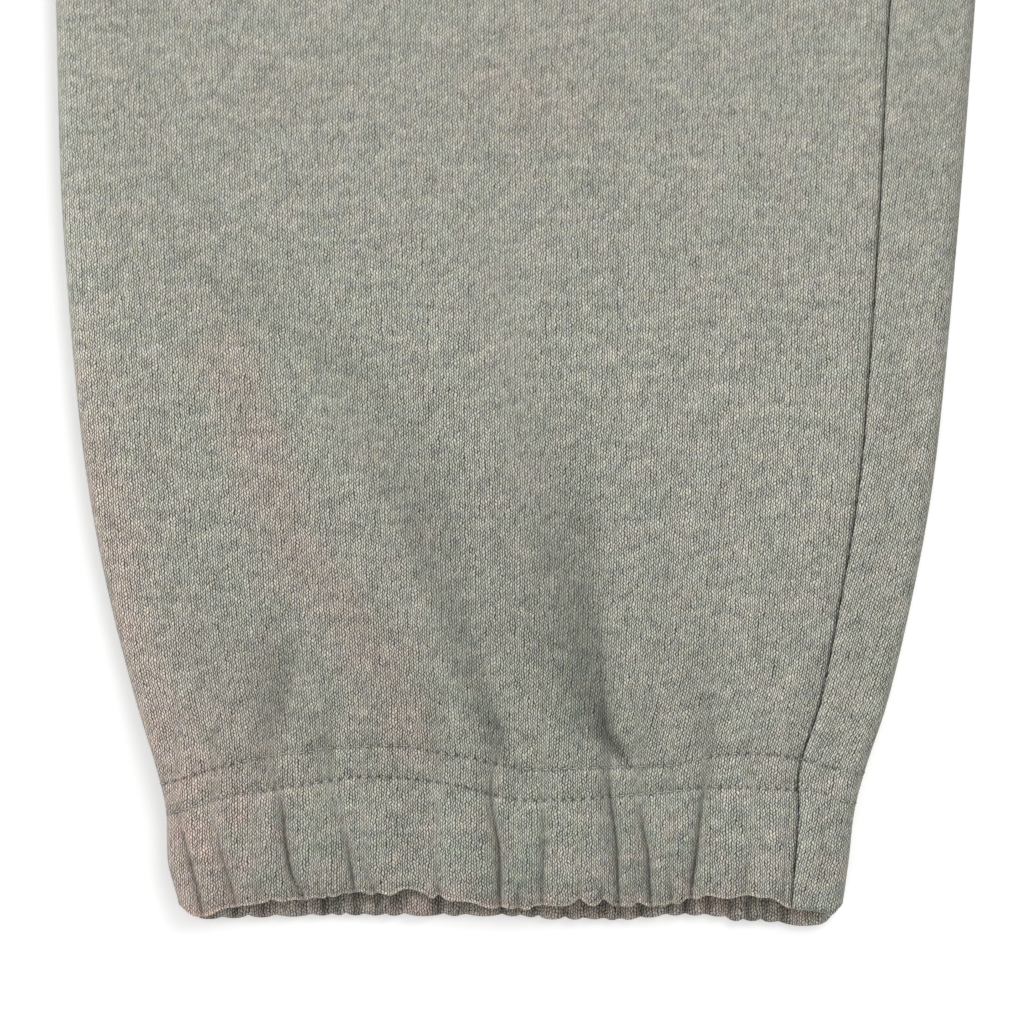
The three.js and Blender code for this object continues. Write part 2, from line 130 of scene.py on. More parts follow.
# Across a leg: the lower edge of the front's hem, of the back's hem, and the two rows of stitches
front_hem = [
    (-81.3, 3.2), (-80.3, 1.9), (-79, 1.1), (-77, 1), (-75.5, 1.1), (-73.6, 1.7), (-72, 2.6), (-70.1, 3.1),
    (-68.2, 3.2), (-66.5, 3.7), (-65.2, 3.7), (-63, 4.1), (-60.9, 4.5), (-59.9, 5.1), (-57.9, 4.6),
    (-55.9, 4.7), (-54.8, 5.1), (-52.4, 4.9), (-49.4, 5.5), (-46.2, 5.4), (-45.2, 6), (-44, 5.6), (-42, 6.1),
    (-40.6, 6.7), (-39, 6.5), (-36.1, 6.9), (-33.3, 6.1), (-32.1, 6.8), (-29.4, 6), (-28.4, 6.1),
    (-27.2, 6.9), (-25.7, 7.5), (-24.2, 7.7), (-22.7, 7.3), (-20.7, 6.5), (-18.9, 5.3), (-17, 6.3),
    (-16, 5.3), (-14.8, 4.8), (-12.3, 4.7), (-9.3, 4.4), (-6.4, 3.3), (-4, 2.9), (-2.4, 3.3), (0, 2.8),
    (2.2, 3.2), (4.1, 2.5), (5.9, 3.5), (8.4, 3.8), (10.4, 3.6), (13.2, 3.5), (14.9, 4.2), (16.6, 5.3),
    (17.6, 4.5), (19.2, 3.5), (20.7, 3.9), (22.1, 5.2), (22.9, 4.5), (24.1, 3.7),
    (26.5, 3.4), (28.4, 3.5), (29.8, 4.4), (31.8, 3.6), (33.5, 3.3), (35.1, 3.9), (36.7, 3.5), (38.2, 4.2),
    (41.1, 4), (42.9, 5.3), (45.9, 5.2), (47.5, 6.1), (49.4, 5.9), (52.4, 5.2), (55.7, 5.9), (57.9, 6.1),
    (60.1, 5.5), (63.1, 5.4), (64.5, 4.5), (66.4, 3.3), (69.1, 2.7), (71.9, 2.6), (75, 2.1), (77, 1.8),
    (79, 1.5), (80.4, 2.8),
]
back_hem = [
    (-80, 1.6), (-77.5, 0.4), (-74, 0.1), (-68.4, 0.4), (-61, 0.6), (-51.4, 0.8), (-46.5, 1), (-34, 1),
    (-22, 0.9), (0, 0.8), (4.3, 0.6), (8.8, 0.1), (20, 0.1), (24.4, -0.1), (28.8, 0), (34.4, 0.6), (39.2, 1),
    (49.9, 0.8), (54.7, -0.3), (59.2, -0.3), (63.4, -0.6), (69.1, -1.4), (73.2, -1.4), (76, -1.2), (78, -0.7),
    (79.2, 0.6), (80.4, 2.4),
]
lower_row = [
    (-80.7, 25.5), (-76.7, 26.7), (-70.7, 28.6), (-66.7, 29.8), (-58.1, 31), (-48.3, 32.6), (-34.3, 34.3),
    (-24, 33.8), (-14.3, 32.6), (1.4, 29), (13.3, 28.8), (17.1, 29), (40, 31), (47.6, 31.9), (68.1, 31.2),
    (72.9, 31), (78.3, 28.8), (82, 28),
]
upper_row = [
    (-82, 32.6), (-77.9, 33.8), (-70, 36.2), (-63.6, 37.9), (-55.7, 39.5), (-47.9, 40.2), (-43.8, 41),
    (-24, 41.7), (-19.8, 40.5), (-9.3, 38.8), (-4, 37.4), (5.5, 36), (13.3, 36.2), (29, 36.7), (38.8, 37.1),
    (48.8, 39.3), (58.6, 39.8), (68.3, 38.6), (76.4, 36.4), (84, 35),
]

# Pleats of the left leg. Each is a path up the leg: height, place across, how deep it sinks, and its width,
# or its widths on the inner and the outer side. Sharp ones are creases that the elastic gathers, and the
# others are soft troughs, or ridges where they rise.
left_creases = [
    [(2, -73, 1.6, 1.8), (6, -73.8, 2, 1.8), (12, -75.3, 2, 1.8), (18, -76.8, 1.7, 1.6), (24, -78.6, 1, 1.6),
     (28, -79, 0, 1.6)],
    [(3, -64.8, 1.8, 2.2), (7, -65.8, 1.9, 2.2), (14, -67.9, 1.5, 2.2), (20, -69.3, 0.7, 2.2),
     (25, -70, 0, 2.2)],
    [(4, -48.6, 2, 2.4), (6.5, -49.3, 2.8, 2.4), (8.5, -50.6, 2.9, 2.4), (11, -51.8, 2.9, 2.2),
     (19.5, -53.3, 2.7, 2.2), (27, -54, 1.7, 2.4), (33, -56, 0.6, 3), (37, -57, 0, 3)],
    [(4, -60, 1.1, 1.4), (7, -60.2, 0.8, 1.4), (10, -60.4, 0, 1.4)],
    [(4, -45, 1.2, 1.4), (7, -45.2, 0.9, 1.4), (10, -45.6, 0, 1.4)],
    [(5, -36.8, 1.6, 2), (9, -37.1, 2.1, 2), (14, -37.9, 1.9, 2), (19.5, -38.8, 1.2, 2.4),
     (25, -40.3, 0.7, 3), (31, -42.6, 0.3, 3.4), (36, -43, 0, 3.4)],
    [(5, -31.8, 1.4, 1.5), (7, -32.1, 1.3, 1.5), (10.4, -33.5, 1, 1.5), (13.5, -34.6, 0, 1.5)],
    [(4, -16.2, 1.5, 1.4), (7, -16.6, 1.3, 1.4), (10.5, -17.3, 0, 1.4)],
    [(3, -2.2, 2.4, 2.2), (6, -2.4, 2.7, 2.2), (17, -2.6, 2.7, 2), (23, -3.6, 2.3, 2), (31, -4.5, 1.4, 2.2),
     (36, -4, 0.5, 2.4), (38, -3.4, 0, 2.4)],
    [(3, 2.1, 1.6, 1.4), (7, 2.1, 0.8, 1.4), (10, 2, 0, 1.4)],
    [(3.5, 7.6, 1.4, 1.8), (7, 7.6, 1.6, 1.8), (15, 7.9, 1.4, 1.8), (24, 8.1, 0.8, 1.8), (27, 8.2, 0, 1.8)],
    [(4, 25.9, 2.5, 2.2), (7, 25.7, 2.7, 2.2), (19, 25.2, 2.6, 2.2), (28, 24, 2, 2.4), (34, 23.5, 1.2, 2.8),
     (40, 23.5, 0, 3)],
    [(4, 16.6, 1, 1.3), (7, 16.5, 0.7, 1.3), (9.5, 16.4, 0, 1.3)],
    [(4, 22.1, 1.2, 1.3), (7, 21.9, 0.9, 1.3), (10, 21.6, 0, 1.3)],
    [(4, 29.9, 0.9, 1.2), (7, 29.8, 0.6, 1.2), (9, 29.7, 0, 1.2)],
    [(4, 38.3, 1.3, 1.3), (7, 38.2, 1.1, 1.3), (10.5, 38, 0, 1.3)],
    [(3.5, 33.6, 2.2, 2.2), (6, 33.3, 2.5, 2.2), (17, 32.6, 2.3, 2.2), (24, 31.2, 1.5, 2.2),
     (30, 30.6, 0.4, 2.2), (33, 30.4, 0, 2.2)],
    [(4.5, 42.9, 2.2, 2.2), (7, 43.1, 2.5, 2.2), (17, 44.3, 2.4, 2.4), (28, 45.5, 1.6, 2.6),
     (34, 46.5, 0.6, 3), (38, 47, 0, 3)],
    [(5, 55.8, 0.9, 2.4), (10, 56, 0.8, 2.6), (18, 57, 0, 2.8)],
    [(4, 65, 1.1, 1.5), (9, 65.2, 0.7, 1.5), (16, 65.5, 0, 1.5)],
]
# Tucks are the sharp lower ends of the deeper folds, just above the casing
left_tucks = [
    [(36.5, 28.6, 0, 1.6), (38.5, 27.4, 2, 1.6), (42, 24.4, 3.6, 2.2), (46, 22.8, 3.6, 2.6),
     (55, 21.9, 2.6, 3), (66, 21.2, 1.6, 3), (76, 19.9, 0.8, 3), (84, 19, 0, 3)],
    [(34, -0.4, 0.6, 1.6), (39.6, -1.2, 1.8, 1.8), (44, -2.4, 1.8, 2), (50, -4.2, 0.9, 2), (57, -6.4, 0, 2)],
    [(34, -42.4, 0.5, 1.4), (40, -42.6, 1, 1.6), (48, -42.2, 0.5, 1.8), (54, -41.8, 0, 1.8)],
    [(35, 48, 0.4, 1.4), (41, 48, 0.9, 1.6), (49, 48.2, 0.5, 1.8), (56, 48, 0, 1.8)],
]
right_tucks = [
    [(36, -3, 0, 2), (41, -4, 2.4, 2), (50, -3, 2, 2.4), (62, -1.6, 0, 2.6)],
]
left_folds = [
    [(36, 28, 0, 2.4, 1.6), (39.5, 26.8, 2.4, 3, 1.8), (43, 24, 2.9, 4.5, 1.7), (52, 21.2, 2.3, 7, 1.8),
     (62, 19.8, 1.9, 10, 2.4), (71, 18.8, 1.6, 11, 3.2), (86, 19.4, 1.5, 10, 4), (107, 16, 0.6, 8, 6),
     (125, 12, 0, 8, 8)],
    [(33, 16, 0, 14, 4), (50, 17, 0.9, 20, 5), (80, 16, 1.2, 26, 6), (110, 12, 0.6, 26, 9),
     (135, 8, 0, 24, 12)],
    [(33, -3, 0, 3, 2), (42, -2.6, 2, 3.6, 2), (52, -5.8, 2.6, 4.4, 2.2), (60, -8.8, 2.6, 5, 3),
     (67, -11, 2.4, 5.5, 3.6), (76, -14, 1.7, 7, 5), (92, -18, 0.8, 9, 8), (108, -21, 0, 10, 10)],
    [(34, -18, 0, 2.5), (43, -17.8, 0.9, 3), (52, -18, 0.8, 3.5), (62, -19, 0, 4)],
    [(8, -24.5, 0, 4), (17, -24.3, 0.8, 4), (26, -24.3, 1, 4), (32, -24.3, 0.7, 4), (37, -23, 0, 4)],
    [(30, -57, 0, 3, 2.5), (37, -58, 0.8, 3.5, 2.5), (43, -55.5, 1.3, 6, 2.2), (50, -53.6, 2.2, 7, 1.3),
     (58, -52.4, 2, 7, 1.3), (68, -52.5, 0.8, 6, 2.4), (80, -53, 0, 6, 3)],
    [(36, -42.5, 0, 3), (42, -42.6, 0.9, 3.5), (52, -41.7, 0.8, 4), (62, -41, 0, 4)],
    [(34, 48, 0, 3.5), (43, 48, 1, 4), (55, 47.6, 0.9, 5), (72, 47, 0, 6)],
    [(34, 33, 0, 2.5), (38, 33.3, 0.7, 3), (46, 34.5, 0.7, 3.5), (56, 35, 0, 4)],
    [(70, -15, 0, 9), (86, -19, 0.8, 9), (117, -27, 1.1, 10), (133, -43, 1.1, 11), (150, -64, 0.8, 12),
     (165, -80, 0, 12)],
    [(42, -8, 0, 5), (52, -9.5, -0.8, 5), (66, -15, -1, 5.5), (78, -22, -0.8, 6), (92, -27, 0, 6)],
    [(34, 60, 0, 10), (52, 61, -0.8, 10), (100, 64, 0, 10)],
    [(32, -34, 0, 8), (50, -36, -0.9, 9), (90, -40, 0, 9)],
]


def crease(low, high, reach, depth, width):
    """A gathered crease from the hem to part of the way up the casing."""
    top = 4 + 26 * reach
    middle = low + (high - low) * 0.5
    return [(3, low, depth, width), (4 + 13 * reach, middle, depth, width), (top, high, 0.5 * depth, width),
            (top + 6, high, 0, width)]


right_creases = [
    crease(-70, -72, 1, 1.7, 2.2), crease(-57, -56, 0.7, 1.4, 2), crease(-44, -46.5, 1, 2.5, 2.4),
    crease(-30, -29, 1, 1.9, 2.4), crease(-17, -19.5, 0.8, 1.5, 2.2), crease(-6, -4, 1, 2.6, 2.2),
    crease(11, 9, 1, 2.3, 2.2), crease(21, 22.5, 0.7, 1.4, 2), crease(34, 32, 1, 2.6, 2.4),
    crease(49, 51, 1, 2.1, 2.4), crease(60, 59, 0.6, 1.2, 2),
]
right_folds = [
    [(34, -3, 0, 3), (43, -4, 2.5, 3.2), (62, -2, 2.8, 5), (80, 3, 1.4, 6), (105, 6, 0, 7)],
    [(34, -45, 0, 3), (42, -45, 1.7, 3.4), (58, -42, 1.6, 5), (84, -38, 0, 7)],
    [(34, 33, 0, 3), (43, 33, 1.4, 4), (66, 36, 0, 5)],
    [(42, 14, 0, 10), (80, 4, 0.8, 10), (120, -18, 1, 11), (170, -60, 0, 12)],
    [(36, -26, 0, 8), (56, -25, -1, 8), (110, -18, 0, 9)],
    [(34, 54, 0, 9), (54, 58, -0.9, 10), (96, 60, 0, 10)],
]
# Above the lower leg: slack at the knee, drag lines from the crotch, and fullness below the waistband
upper_folds = [
    [(300, -92, 0, 18), (380, -40, -0.9, 20), (470, 10, 0, 18)],
    [(350, 60, 0, 18), (455, 5, 0.6, 18), (560, -30, 0, 18)],
    [(560, -40, 0, 12), (690, -104, -1.2, 14), (750, -146, 0, 12)],
    [(600, 10, 0, 12), (720, -80, -1, 13), (775, -138, 0, 12)],
    [(690, 90, 0, 12), (770, -60, -0.9, 12), (800, -120, 0, 12)],
    [(850, -116, 0, 8), (975, -119, -1.2, 8), (990, -122, -0.6, 8)],
    [(840, -84, 0, 8), (975, -91, -1.3, 8), (990, -93, -0.6, 8)],
    [(860, -48, 0, 8), (975, -58, -1.2, 8), (990, -62, -0.6, 8)],
    [(830, -6, 0, 8), (975, -28, -1.3, 8), (990, -33, -0.6, 8)],
    [(850, 34, 0, 8), (975, 4, -1.2, 8), (990, -7, -0.6, 8)],
    [(860, 76, 0, 8), (960, 28, -1, 8), (985, 16, -0.4, 8)],
]


def smooth(low, high, x):
    t = np.clip((x - low) / (high - low), 0, 1)
    return t * t * (3 - 2 * t)


def along(table, x, column=1):
    """A column of a table against its first one, through smooth slopes."""
    keys = np.array([row[0] for row in table], float)
    values = np.array([row[column] for row in table], float)
    slopes = np.gradient(values, keys) if len(keys) > 2 else np.full(2, np.diff(values)[0] / np.diff(keys)[0])
    slopes[1:-1] = (values[2:] - values[:-2]) / (keys[2:] - keys[:-2])
    x = np.clip(x, keys[0], keys[-1])
    i = np.clip(np.searchsorted(keys, x, side="right") - 1, 0, len(keys) - 2)
    step = keys[i + 1] - keys[i]
    t = (x - keys[i]) / step
    start = values[i] * (1 + 2 * t) * (1 - t) ** 2 + slopes[i] * step * t * (1 - t) ** 2
    return start + values[i + 1] * t * t * (3 - 2 * t) + slopes[i + 1] * step * t * t * (t - 1)


def leg_roll_at(v):
    gathered = (hem_roll - leg_roll) * (1 - smooth(hem_row, billow_top, v))
    return leg_roll + gathered + (waist_roll - leg_roll) * smooth(hip_top, waist_seam, v)


def leg_edges(v):
    """Where the upper layer starts to turn at either edge, where the side seam is, and how far the inner
    edge turns."""
    roll = leg_roll_at(v)
    curl = 0.25 + 0.75 * (1 - smooth(crotch - 5, crotch + 40, v))
    inner = np.maximum(along(outline, v, 1), 0.1 - leg_axis)
    outer = along(outline, v, 2)
    return {
        "roll": roll,
        "swing": curl * math.pi / 2,
        "inner": inner + roll * np.sin(curl * math.pi / 2),
        "outer": outer - roll,
        "seam": outer - along(outline, v, 3),
        "half": (outer - inner) / 2,
    }


def casing_share(u, v):
    """How far up the casing a place is, from 0 at its fold to 1 at the lower row of stitches."""
    low = along(front_hem, u)
    return (v - low) / (along(lower_row, u) - low)


# A crease of a gathered hem is a thin line with a long slope on one side and a steep one on the other
no_crease_near = 9.0
steep_side = 0.45
crease_line = 0.4
tuck_depth = 0.4


def creases_at(paths, u, v, spread=1):
    sunk = np.zeros(np.shape(u))
    for path in paths:
        away = u - along(path, v, 1)
        width = along(path, v, 3) * np.where(away > 0, steep_side, 1) * spread
        depth = np.maximum(along(path, v, 2), 0)
        line = np.exp(-((away / crease_line) ** 2))
        sunk += 0.75 * depth * np.exp(-np.abs(away) / width) + 0.3 * depth * line
    return sunk


def nearest_crease(paths, u, v):
    """Distance to the nearest crease, and how deep that one is there."""
    distance, deep = np.full(np.shape(u), no_crease_near), np.zeros(np.shape(u))
    for path in paths:
        away, depth = u - along(path, v, 1), np.maximum(along(path, v, 2), 0)
        nearer = (depth > 0.02) & (np.abs(away) < np.abs(distance)) & (v < path[-1][0]) & (v > path[0][0] - 4)
        distance, deep = np.where(nearer, away, distance), np.where(nearer, depth, deep)
    return distance, deep


def folds_at(paths, u, v):
    sunk = np.zeros(np.shape(u))
    for path in paths:
        away = u - along(path, v, 1)
        away = away / np.where(away < 0, along(path, v, 3), along(path, v, len(path[0]) - 1))
        ends = (v > path[0][0]) & (v < path[-1][0])
        sunk += np.where(ends, along(path, v, 2), 0) * np.exp(-(away**2))
    return sunk


# Sewing draws the cloth in: a shallow groove along each row, and small puckers beside it
row_groove = 0.55
row_groove_width = 0.9
pucker = 0.28
pucker_reach = 3.5


def rows_at(u, v):
    sunk = np.zeros(np.shape(u))
    puckers = np.sin(u * 0.93 + 1.3 * np.sin(u * 0.21)) * (0.6 + 0.4 * np.sin(u * 0.37 + 1))
    for row in (lower_row, upper_row):
        away = v - along(row, u)
        sunk += row_groove * np.exp(-((away / row_groove_width) ** 2))
        sunk += pucker * puckers * np.exp(-np.abs(away) / pucker_reach)
    return sunk


# The casing stands up round its elastic. Beside the side seam the front rolls down into it, and the seam's
# allowance lifts the back.
casing_puff = 1.9
fold_dip = 0.6
row_dip = 0.3
front_seam_depth = 1.25
front_seam_reach = 2.4
back_seam_depth = 0.9
back_seam_reach = 0.55
allowance_rise = 0.3
allowance_reach = 3


def upper_relief(leg, u, v, edges):
    """How far the upper layer stands above the level of its rolled edges."""
    inside = smooth(0, 12, u - edges["inner"]) * smooth(0, 8, edges["outer"] - u)
    near = smooth(-4.5, 0, u - edges["inner"]) * smooth(-2, 5, edges["outer"] - u)
    well_inside = smooth(0, 34, u - edges["inner"]) * smooth(0, 26, edges["outer"] - u)
    settling = smooth(billow_top, settled, v) * (1 - smooth(hip_top, waist_seam, v))
    share = np.clip(casing_share(u, v), 0, 1)
    puff = casing_puff * np.sin(math.pi * share) ** 0.75 - fold_dip * (1 - share) - row_dip * share
    hem = 1 - smooth(hem_row, billow_top, v)
    rise = puff * smooth(-2, 7, u - edges["inner"]) * smooth(-1, 5, edges["outer"] - u) * hem
    rise -= deepest_sag * settling * well_inside
    rise -= folds_at(leg["folds"] + upper_folds, u, v) * inside
    rise -= (creases_at(leg["creases"], u, v) + tuck_depth * creases_at(leg["tucks"], u, v)) * near
    rise -= rows_at(u, v) * near
    from_seam = u - edges["seam"]
    front_side = front_seam_depth * np.exp(from_seam / front_seam_reach)
    back_side = back_seam_depth * np.exp(-from_seam / back_seam_reach)
    allowance = allowance_rise * np.exp(-(((from_seam - allowance_reach) / allowance_reach) ** 2))
    rise -= np.where(from_seam < 0, front_side, back_side)
    rise += np.where(from_seam > 0, allowance, 0)
    return rise


# Slack across the hidden side, at the knee and at the thigh: height, lean, half width and depth
hidden_slack = [(430, 0.3, 26, 0.7), (700, -0.5, 22, 0.6)]
hidden_gather_reach = 2.2
hidden_row_width = 1.1
hem_half_width = 82


def lower_relief(leg, u, v, edges):
    """How far the layer that lies on the table stands clear of it, in gathers and along the rows."""
    inside = smooth(0, 10, u - edges["inner"]) * smooth(0, 10, edges["outer"] - u)
    hem = 1 - smooth(26, 60, v)
    gathers = sum(
        (0.7 + 0.35 * np.sin(1.9 * i + leg["side"])) * np.exp(-np.abs(u - place) / hidden_gather_reach)
        for i, place in enumerate(leg["hidden_gathers"])
    )
    rows = sum(
        np.exp(-(((v - row_under(u, row)) / hidden_row_width) ** 2)) for row in (lower_row, upper_row)
    )
    slack = sum(
        depth * np.exp(-(((v - height - lean * u) / width) ** 2))
        for height, lean, width, depth in hidden_slack
    )
    return (gathers * hem + row_groove * rows + slack) * inside


def row_under(u, row):
    """Under the leg a row of stitches runs straight from edge to edge."""
    ends = np.array([-hem_half_width, hem_half_width], float)
    return np.interp(u, ends, along(row, ends))


# Two cut edges that are sewn together leave a hair's breadth between them
half_gap = 0.055


def leg_surface(leg, around, v):
    """Outer face of the tube, with its normal, at a height and at a place around it: -1 to 0 up the inner
    fold, to 1 over the front, to 2 over the strip beside the side seam, to 3 down the outer fold, to 4 under
    the leg, and to 5 up the inner fold again."""
    around, v = np.broadcast_arrays(np.asarray(around, float), np.asarray(v, float))
    edges = leg_edges(v)
    roll = edges["roll"]
    inner_up = np.clip(-around, 0, 1) * (edges["swing"] - half_gap / roll)
    inner_down = np.clip(around - 4, 0, 1) * (edges["swing"] - half_gap / roll)
    outer_down = np.clip(around - 2, 0, 1) * math.pi
    seam_left = edges["seam"] - half_gap
    seam_right = edges["seam"] + half_gap
    front = edges["inner"] + (seam_left - edges["inner"]) * np.clip(around, 0, 1)
    strip = seam_right + (edges["outer"] - seam_right) * np.clip(around - 1, 0, 1)
    under = edges["outer"] + (edges["inner"] - edges["outer"]) * np.clip(around - 3, 0, 1)
    stretches = [around < 0, around <= 1, around <= 2, around < 3, around <= 4]
    turn = np.select(
        stretches,
        [math.pi / 2 + inner_up, math.pi / 2, math.pi / 2, math.pi / 2 - outer_down, -math.pi / 2],
        -math.pi / 2 - inner_down,
    )
    centre = np.select(stretches, [edges["inner"], front, strip, edges["outer"], under], edges["inner"])
    normal = np.stack([np.cos(turn), np.sin(turn)], -1)
    u = centre + roll * normal[..., 0]
    relief = upper_relief(leg, u, v, edges) * np.clip(normal[..., 1] * 1.6, 0, 1)
    first_crease = creases_at(leg["creases"][:1], u, v)
    relief += np.where(around <= 0, 0.5 * first_crease * np.clip(normal[..., 0], -1, 0), 0)
    relief -= lower_relief(leg, u, v, edges) * np.clip(-normal[..., 1], 0, 1)
    z = roll + (roll + relief) * normal[..., 1]
    u = u + relief * normal[..., 0]
    return u, z, normal, edges


legs = []
for side, name in ((1, "left"), (-1, "right")):
    places = [-70 + 12.6 * i + 2.6 * math.sin(2.4 * i + side) for i in range(12)]
    legs.append({
        "name": name,
        "side": side,
        "creases": left_creases if side > 0 else right_creases,
        "folds": left_folds if side > 0 else right_folds,
        "tucks": left_tucks if side > 0 else right_tucks,
        "hidden_gathers": places,
        "fine": side > 0,
    })

# Gathers of the hem's back rim, which shows below the front: the elastic draws it into uneven scallops
rim_gathers = [
    -80, -71.5, -65.2, -58.3, -49.2, -44.5, -41, -36.3, -31.4, -26.9, -16.7, -11.9, -2.4, 2.1, 6.2, 12.8,
    17.6, 22.3, 26.4, 31.1, 37.6, 42.2, 47.3, 52.2, 56.8, 61.2, 65.1, 80,
]
scallop = 0.8
crease_lifts_edge = 0.25


def rim_scallop(u):
    """How far a place on the rim bulges out between two gathers, from 0 to 1."""
    i = np.clip(np.searchsorted(rim_gathers, u, side="right") - 1, 0, len(rim_gathers) - 2)
    places = np.array(rim_gathers)
    t = np.clip((u - places[i]) / (places[i + 1] - places[i]), 0, 1)
    return np.sin(math.pi * t) ** 0.6


def rim_pocket_shade(u):
    """How strongly painted shade darkens the rim's pockets, which lie at its gathers and are uneven."""
    return sum(
        (0.72 + 0.28 * math.sin(2.7 * i + 0.5)) * np.exp(-np.abs(u - place - 0.5 * math.sin(1.7 * i)) / 1.1)
        for i, place in enumerate(rim_gathers)
    )


def hem_edge(leg, around, u):
    """Lowest point of the hem at a place around the leg."""
    front = along(front_hem, u)
    if not leg["fine"]:
        front = front + crease_lifts_edge * creases_at(leg["creases"], u, front)
    back = along(back_hem, u) + scallop * (1 - rim_scallop(u))
    return front + (back - front) * turned_under(around)


def turned_under(around):
    """0 on the upper layer and 1 on the one that lies on the table, and between them in the folds."""
    down = np.where(around > 3.5, 1 - np.clip(around - 4, 0, 1), smooth(2, 3, around))
    return np.where(around <= 1, 0, down)


def stitch_row(around, u, row):
    over = along(row, u)
    return over + (row_under(u, row) - over) * turned_under(around)


# The hem is the leg's own cloth turned up inside round an elastic
fold_radius = 1.7
turned_in = 13
fold_steps = 8
mid_casing = hem_row / 2
no_row_near = 99


def leg_cloth(leg, columns, bands):
    """Points and knit of a piece of the tube, from inside its hem, round the fold, and up to the waist."""
    height = np.full(columns["plain"].shape, mid_casing)
    u_there = leg_surface(leg, columns["plain"], height)[0]
    low = hem_edge(leg, columns["plain"], u_there) + fold_radius
    row = stitch_row(columns["plain"], u_there, lower_row)

    heights, lines = [], []
    for t in np.linspace(0, 1, bands["casing"] + 1):
        heights.append(low + (row - low) * t)
        lines.append(columns["at"](t, 0))
    for end, step in bands["panel"]:
        start = np.mean(heights[-1]) if len(heights) > bands["casing"] + 1 else hem_row
        count = max(1, round((end - start) / step))
        for k in range(1, count + 1):
            plain_height = start + (end - start) * k / count
            wave = (row - hem_row) * (1 - smooth(hem_row, wave_top, plain_height))
            heights.append(plain_height + wave)
            lines.append(columns["at"](1, smooth(hem_row, wave_top, plain_height)))
    v = np.array(heights)
    around = np.array(lines)
    u, z, normal, edges = leg_surface(leg, around, v)
    knit_u, knit_v = knit_lines(leg, around, u, v, edges)

    # The fold at the hem turns about an axis inside the cloth, and the turned-in part lies flat behind it
    angles = np.radians(np.linspace(-90, 90, fold_steps + 1))[:-1]
    depth = creases_at(leg["creases"], u[0], v[0]) * (normal[0, :, 1] > 0)
    gathered = rim_gathered(u[0]) * (normal[0, :, 1] < 0)
    fold = []
    inside = [(low + h, -math.pi / 2, h) for h in np.linspace(turned_in, 0, bands["turned"] + 1)[:-1]]
    for at, angle, extra in inside + [(None, a, 0) for a in angles]:
        share = (1 - math.sin(angle)) / 2
        off = 2 * fold_radius * share - share * (0.8 * depth + gathered)
        fold.append((
            u[0] - off * normal[0, :, 0],
            z[0] - off * normal[0, :, 1],
            at if at is not None else low - fold_radius * math.cos(angle),
            knit_v[0] - fold_radius * (math.pi / 2 - angle) - extra,
        ))
    u = np.vstack([[f[0] for f in fold], u])
    z = np.vstack([[f[1] for f in fold], z])
    v = np.vstack([[f[2] for f in fold], v])
    knit_v = np.vstack([[f[3] for f in fold], knit_v])
    knit_u = np.vstack([np.repeat(knit_u[:1], len(fold), 0), knit_u])
    around = np.vstack([np.repeat(around[:1], len(fold), 0), around])
    rows_apart = [v - stitch_row(around, u, sewn_row) for sewn_row in (lower_row, upper_row)]
    inside_hem = np.arange(len(v))[:, None] < len(fold)
    sewn = np.stack([np.where(inside_hem, no_row_near, apart) for apart in rows_apart] + [u], -1)
    return u, v, z, np.stack([knit_u, knit_v], -1), sewn, len(fold)


def rim_gathered(u):
    """How far the rim's inner face sinks at its gathers."""
    return 2.1 * (1 - rim_scallop(u)) ** 1.2


# The knit's columns run up the leg, and lean with its edges where it tapers. The gathers swallow some of
# them. The back's columns start elsewhere, and beside the side seam they lean with its cut.
even_half_width = 110
swallowed = 2.4
swallowing_depth = 2.6
back_start = 300
strip_lean = 0.19
seam_lean_top = 260
lean_reach = 220


def knit_lines(leg, around, u, v, edges):
    gathered = 1 - smooth(hem_row - 2, billow_top, v)
    taper = np.sqrt(even_half_width / edges["half"])
    laid_open = np.where(around < 0, edges["inner"] + around * edges["roll"] * edges["swing"], u)
    across = laid_open * (taper + (1 - taper) * gathered)
    for path in leg["creases"]:
        strength = np.clip(path[1][2] / swallowing_depth, 0, 1)
        across += gathered * strength * swallowed / 2 * np.tanh((laid_open - along(path, v, 1)) / 1.1)
    past_seam = np.where(around > 1, perimeter(around, edges), 0)
    leaning = strip_lean * seam_lean_top * (1 - np.exp(-np.maximum(v, 0) / seam_lean_top))
    behind = back_start + past_seam - leaning * (1 - np.clip(past_seam / lean_reach, 0, 1))
    return np.where(around > 1, behind, across), v


def perimeter(around, edges):
    strip = (edges["outer"] - edges["seam"]) * np.clip(around - 1, 0, 1)
    outer = math.pi * edges["roll"] * np.clip(around - 2, 0, 1)
    under = (edges["outer"] - edges["inner"]) * np.clip(around - 3, 0, 1)
    inner = edges["roll"] * edges["swing"] * np.clip(around - 4, 0, 1)
    return strip + outer + under + inner


# Pink and green casts painted into the cloth's colour. Along the inner edge and the streak of a fold, which
# face left and down, and along the hem's lower edge, the pink is painted pinkish light. The green in the
# hollows is painted greenish shade. The other patches tint the grey pink or green where they are listed.
pink = np.array([1.045, 0.905, 0.915])
green = np.array([0.965, 1.02, 0.98])
pink_patches = [
    (-68, 28, 15, 30, 0.65), (3.6, 197, 18, 14, 0.35), (-55, 196, 12, 8, 0.25), (8, 2, 80, 3, 0.3),
]
green_patches = [
    (-46, 132, 30, 22, 0.5), (17, 107, 6, 40, 0.6), (48, 69, 3.5, 22, 0.4), (-52, 64, 5, 8, 0.4),
    (-43, 37, 4, 15, 0.4), (-10, 60, 20, 26, 0.35), (20, 30, 26, 26, 0.3), (16, 55, 9, 16, 0.5),
]
pink_light_streak = [(-68, 136), (-61, 117), (-50, 86), (-36, 71), (-24, 43)]
streak_width = 7.5
edge_width = 11


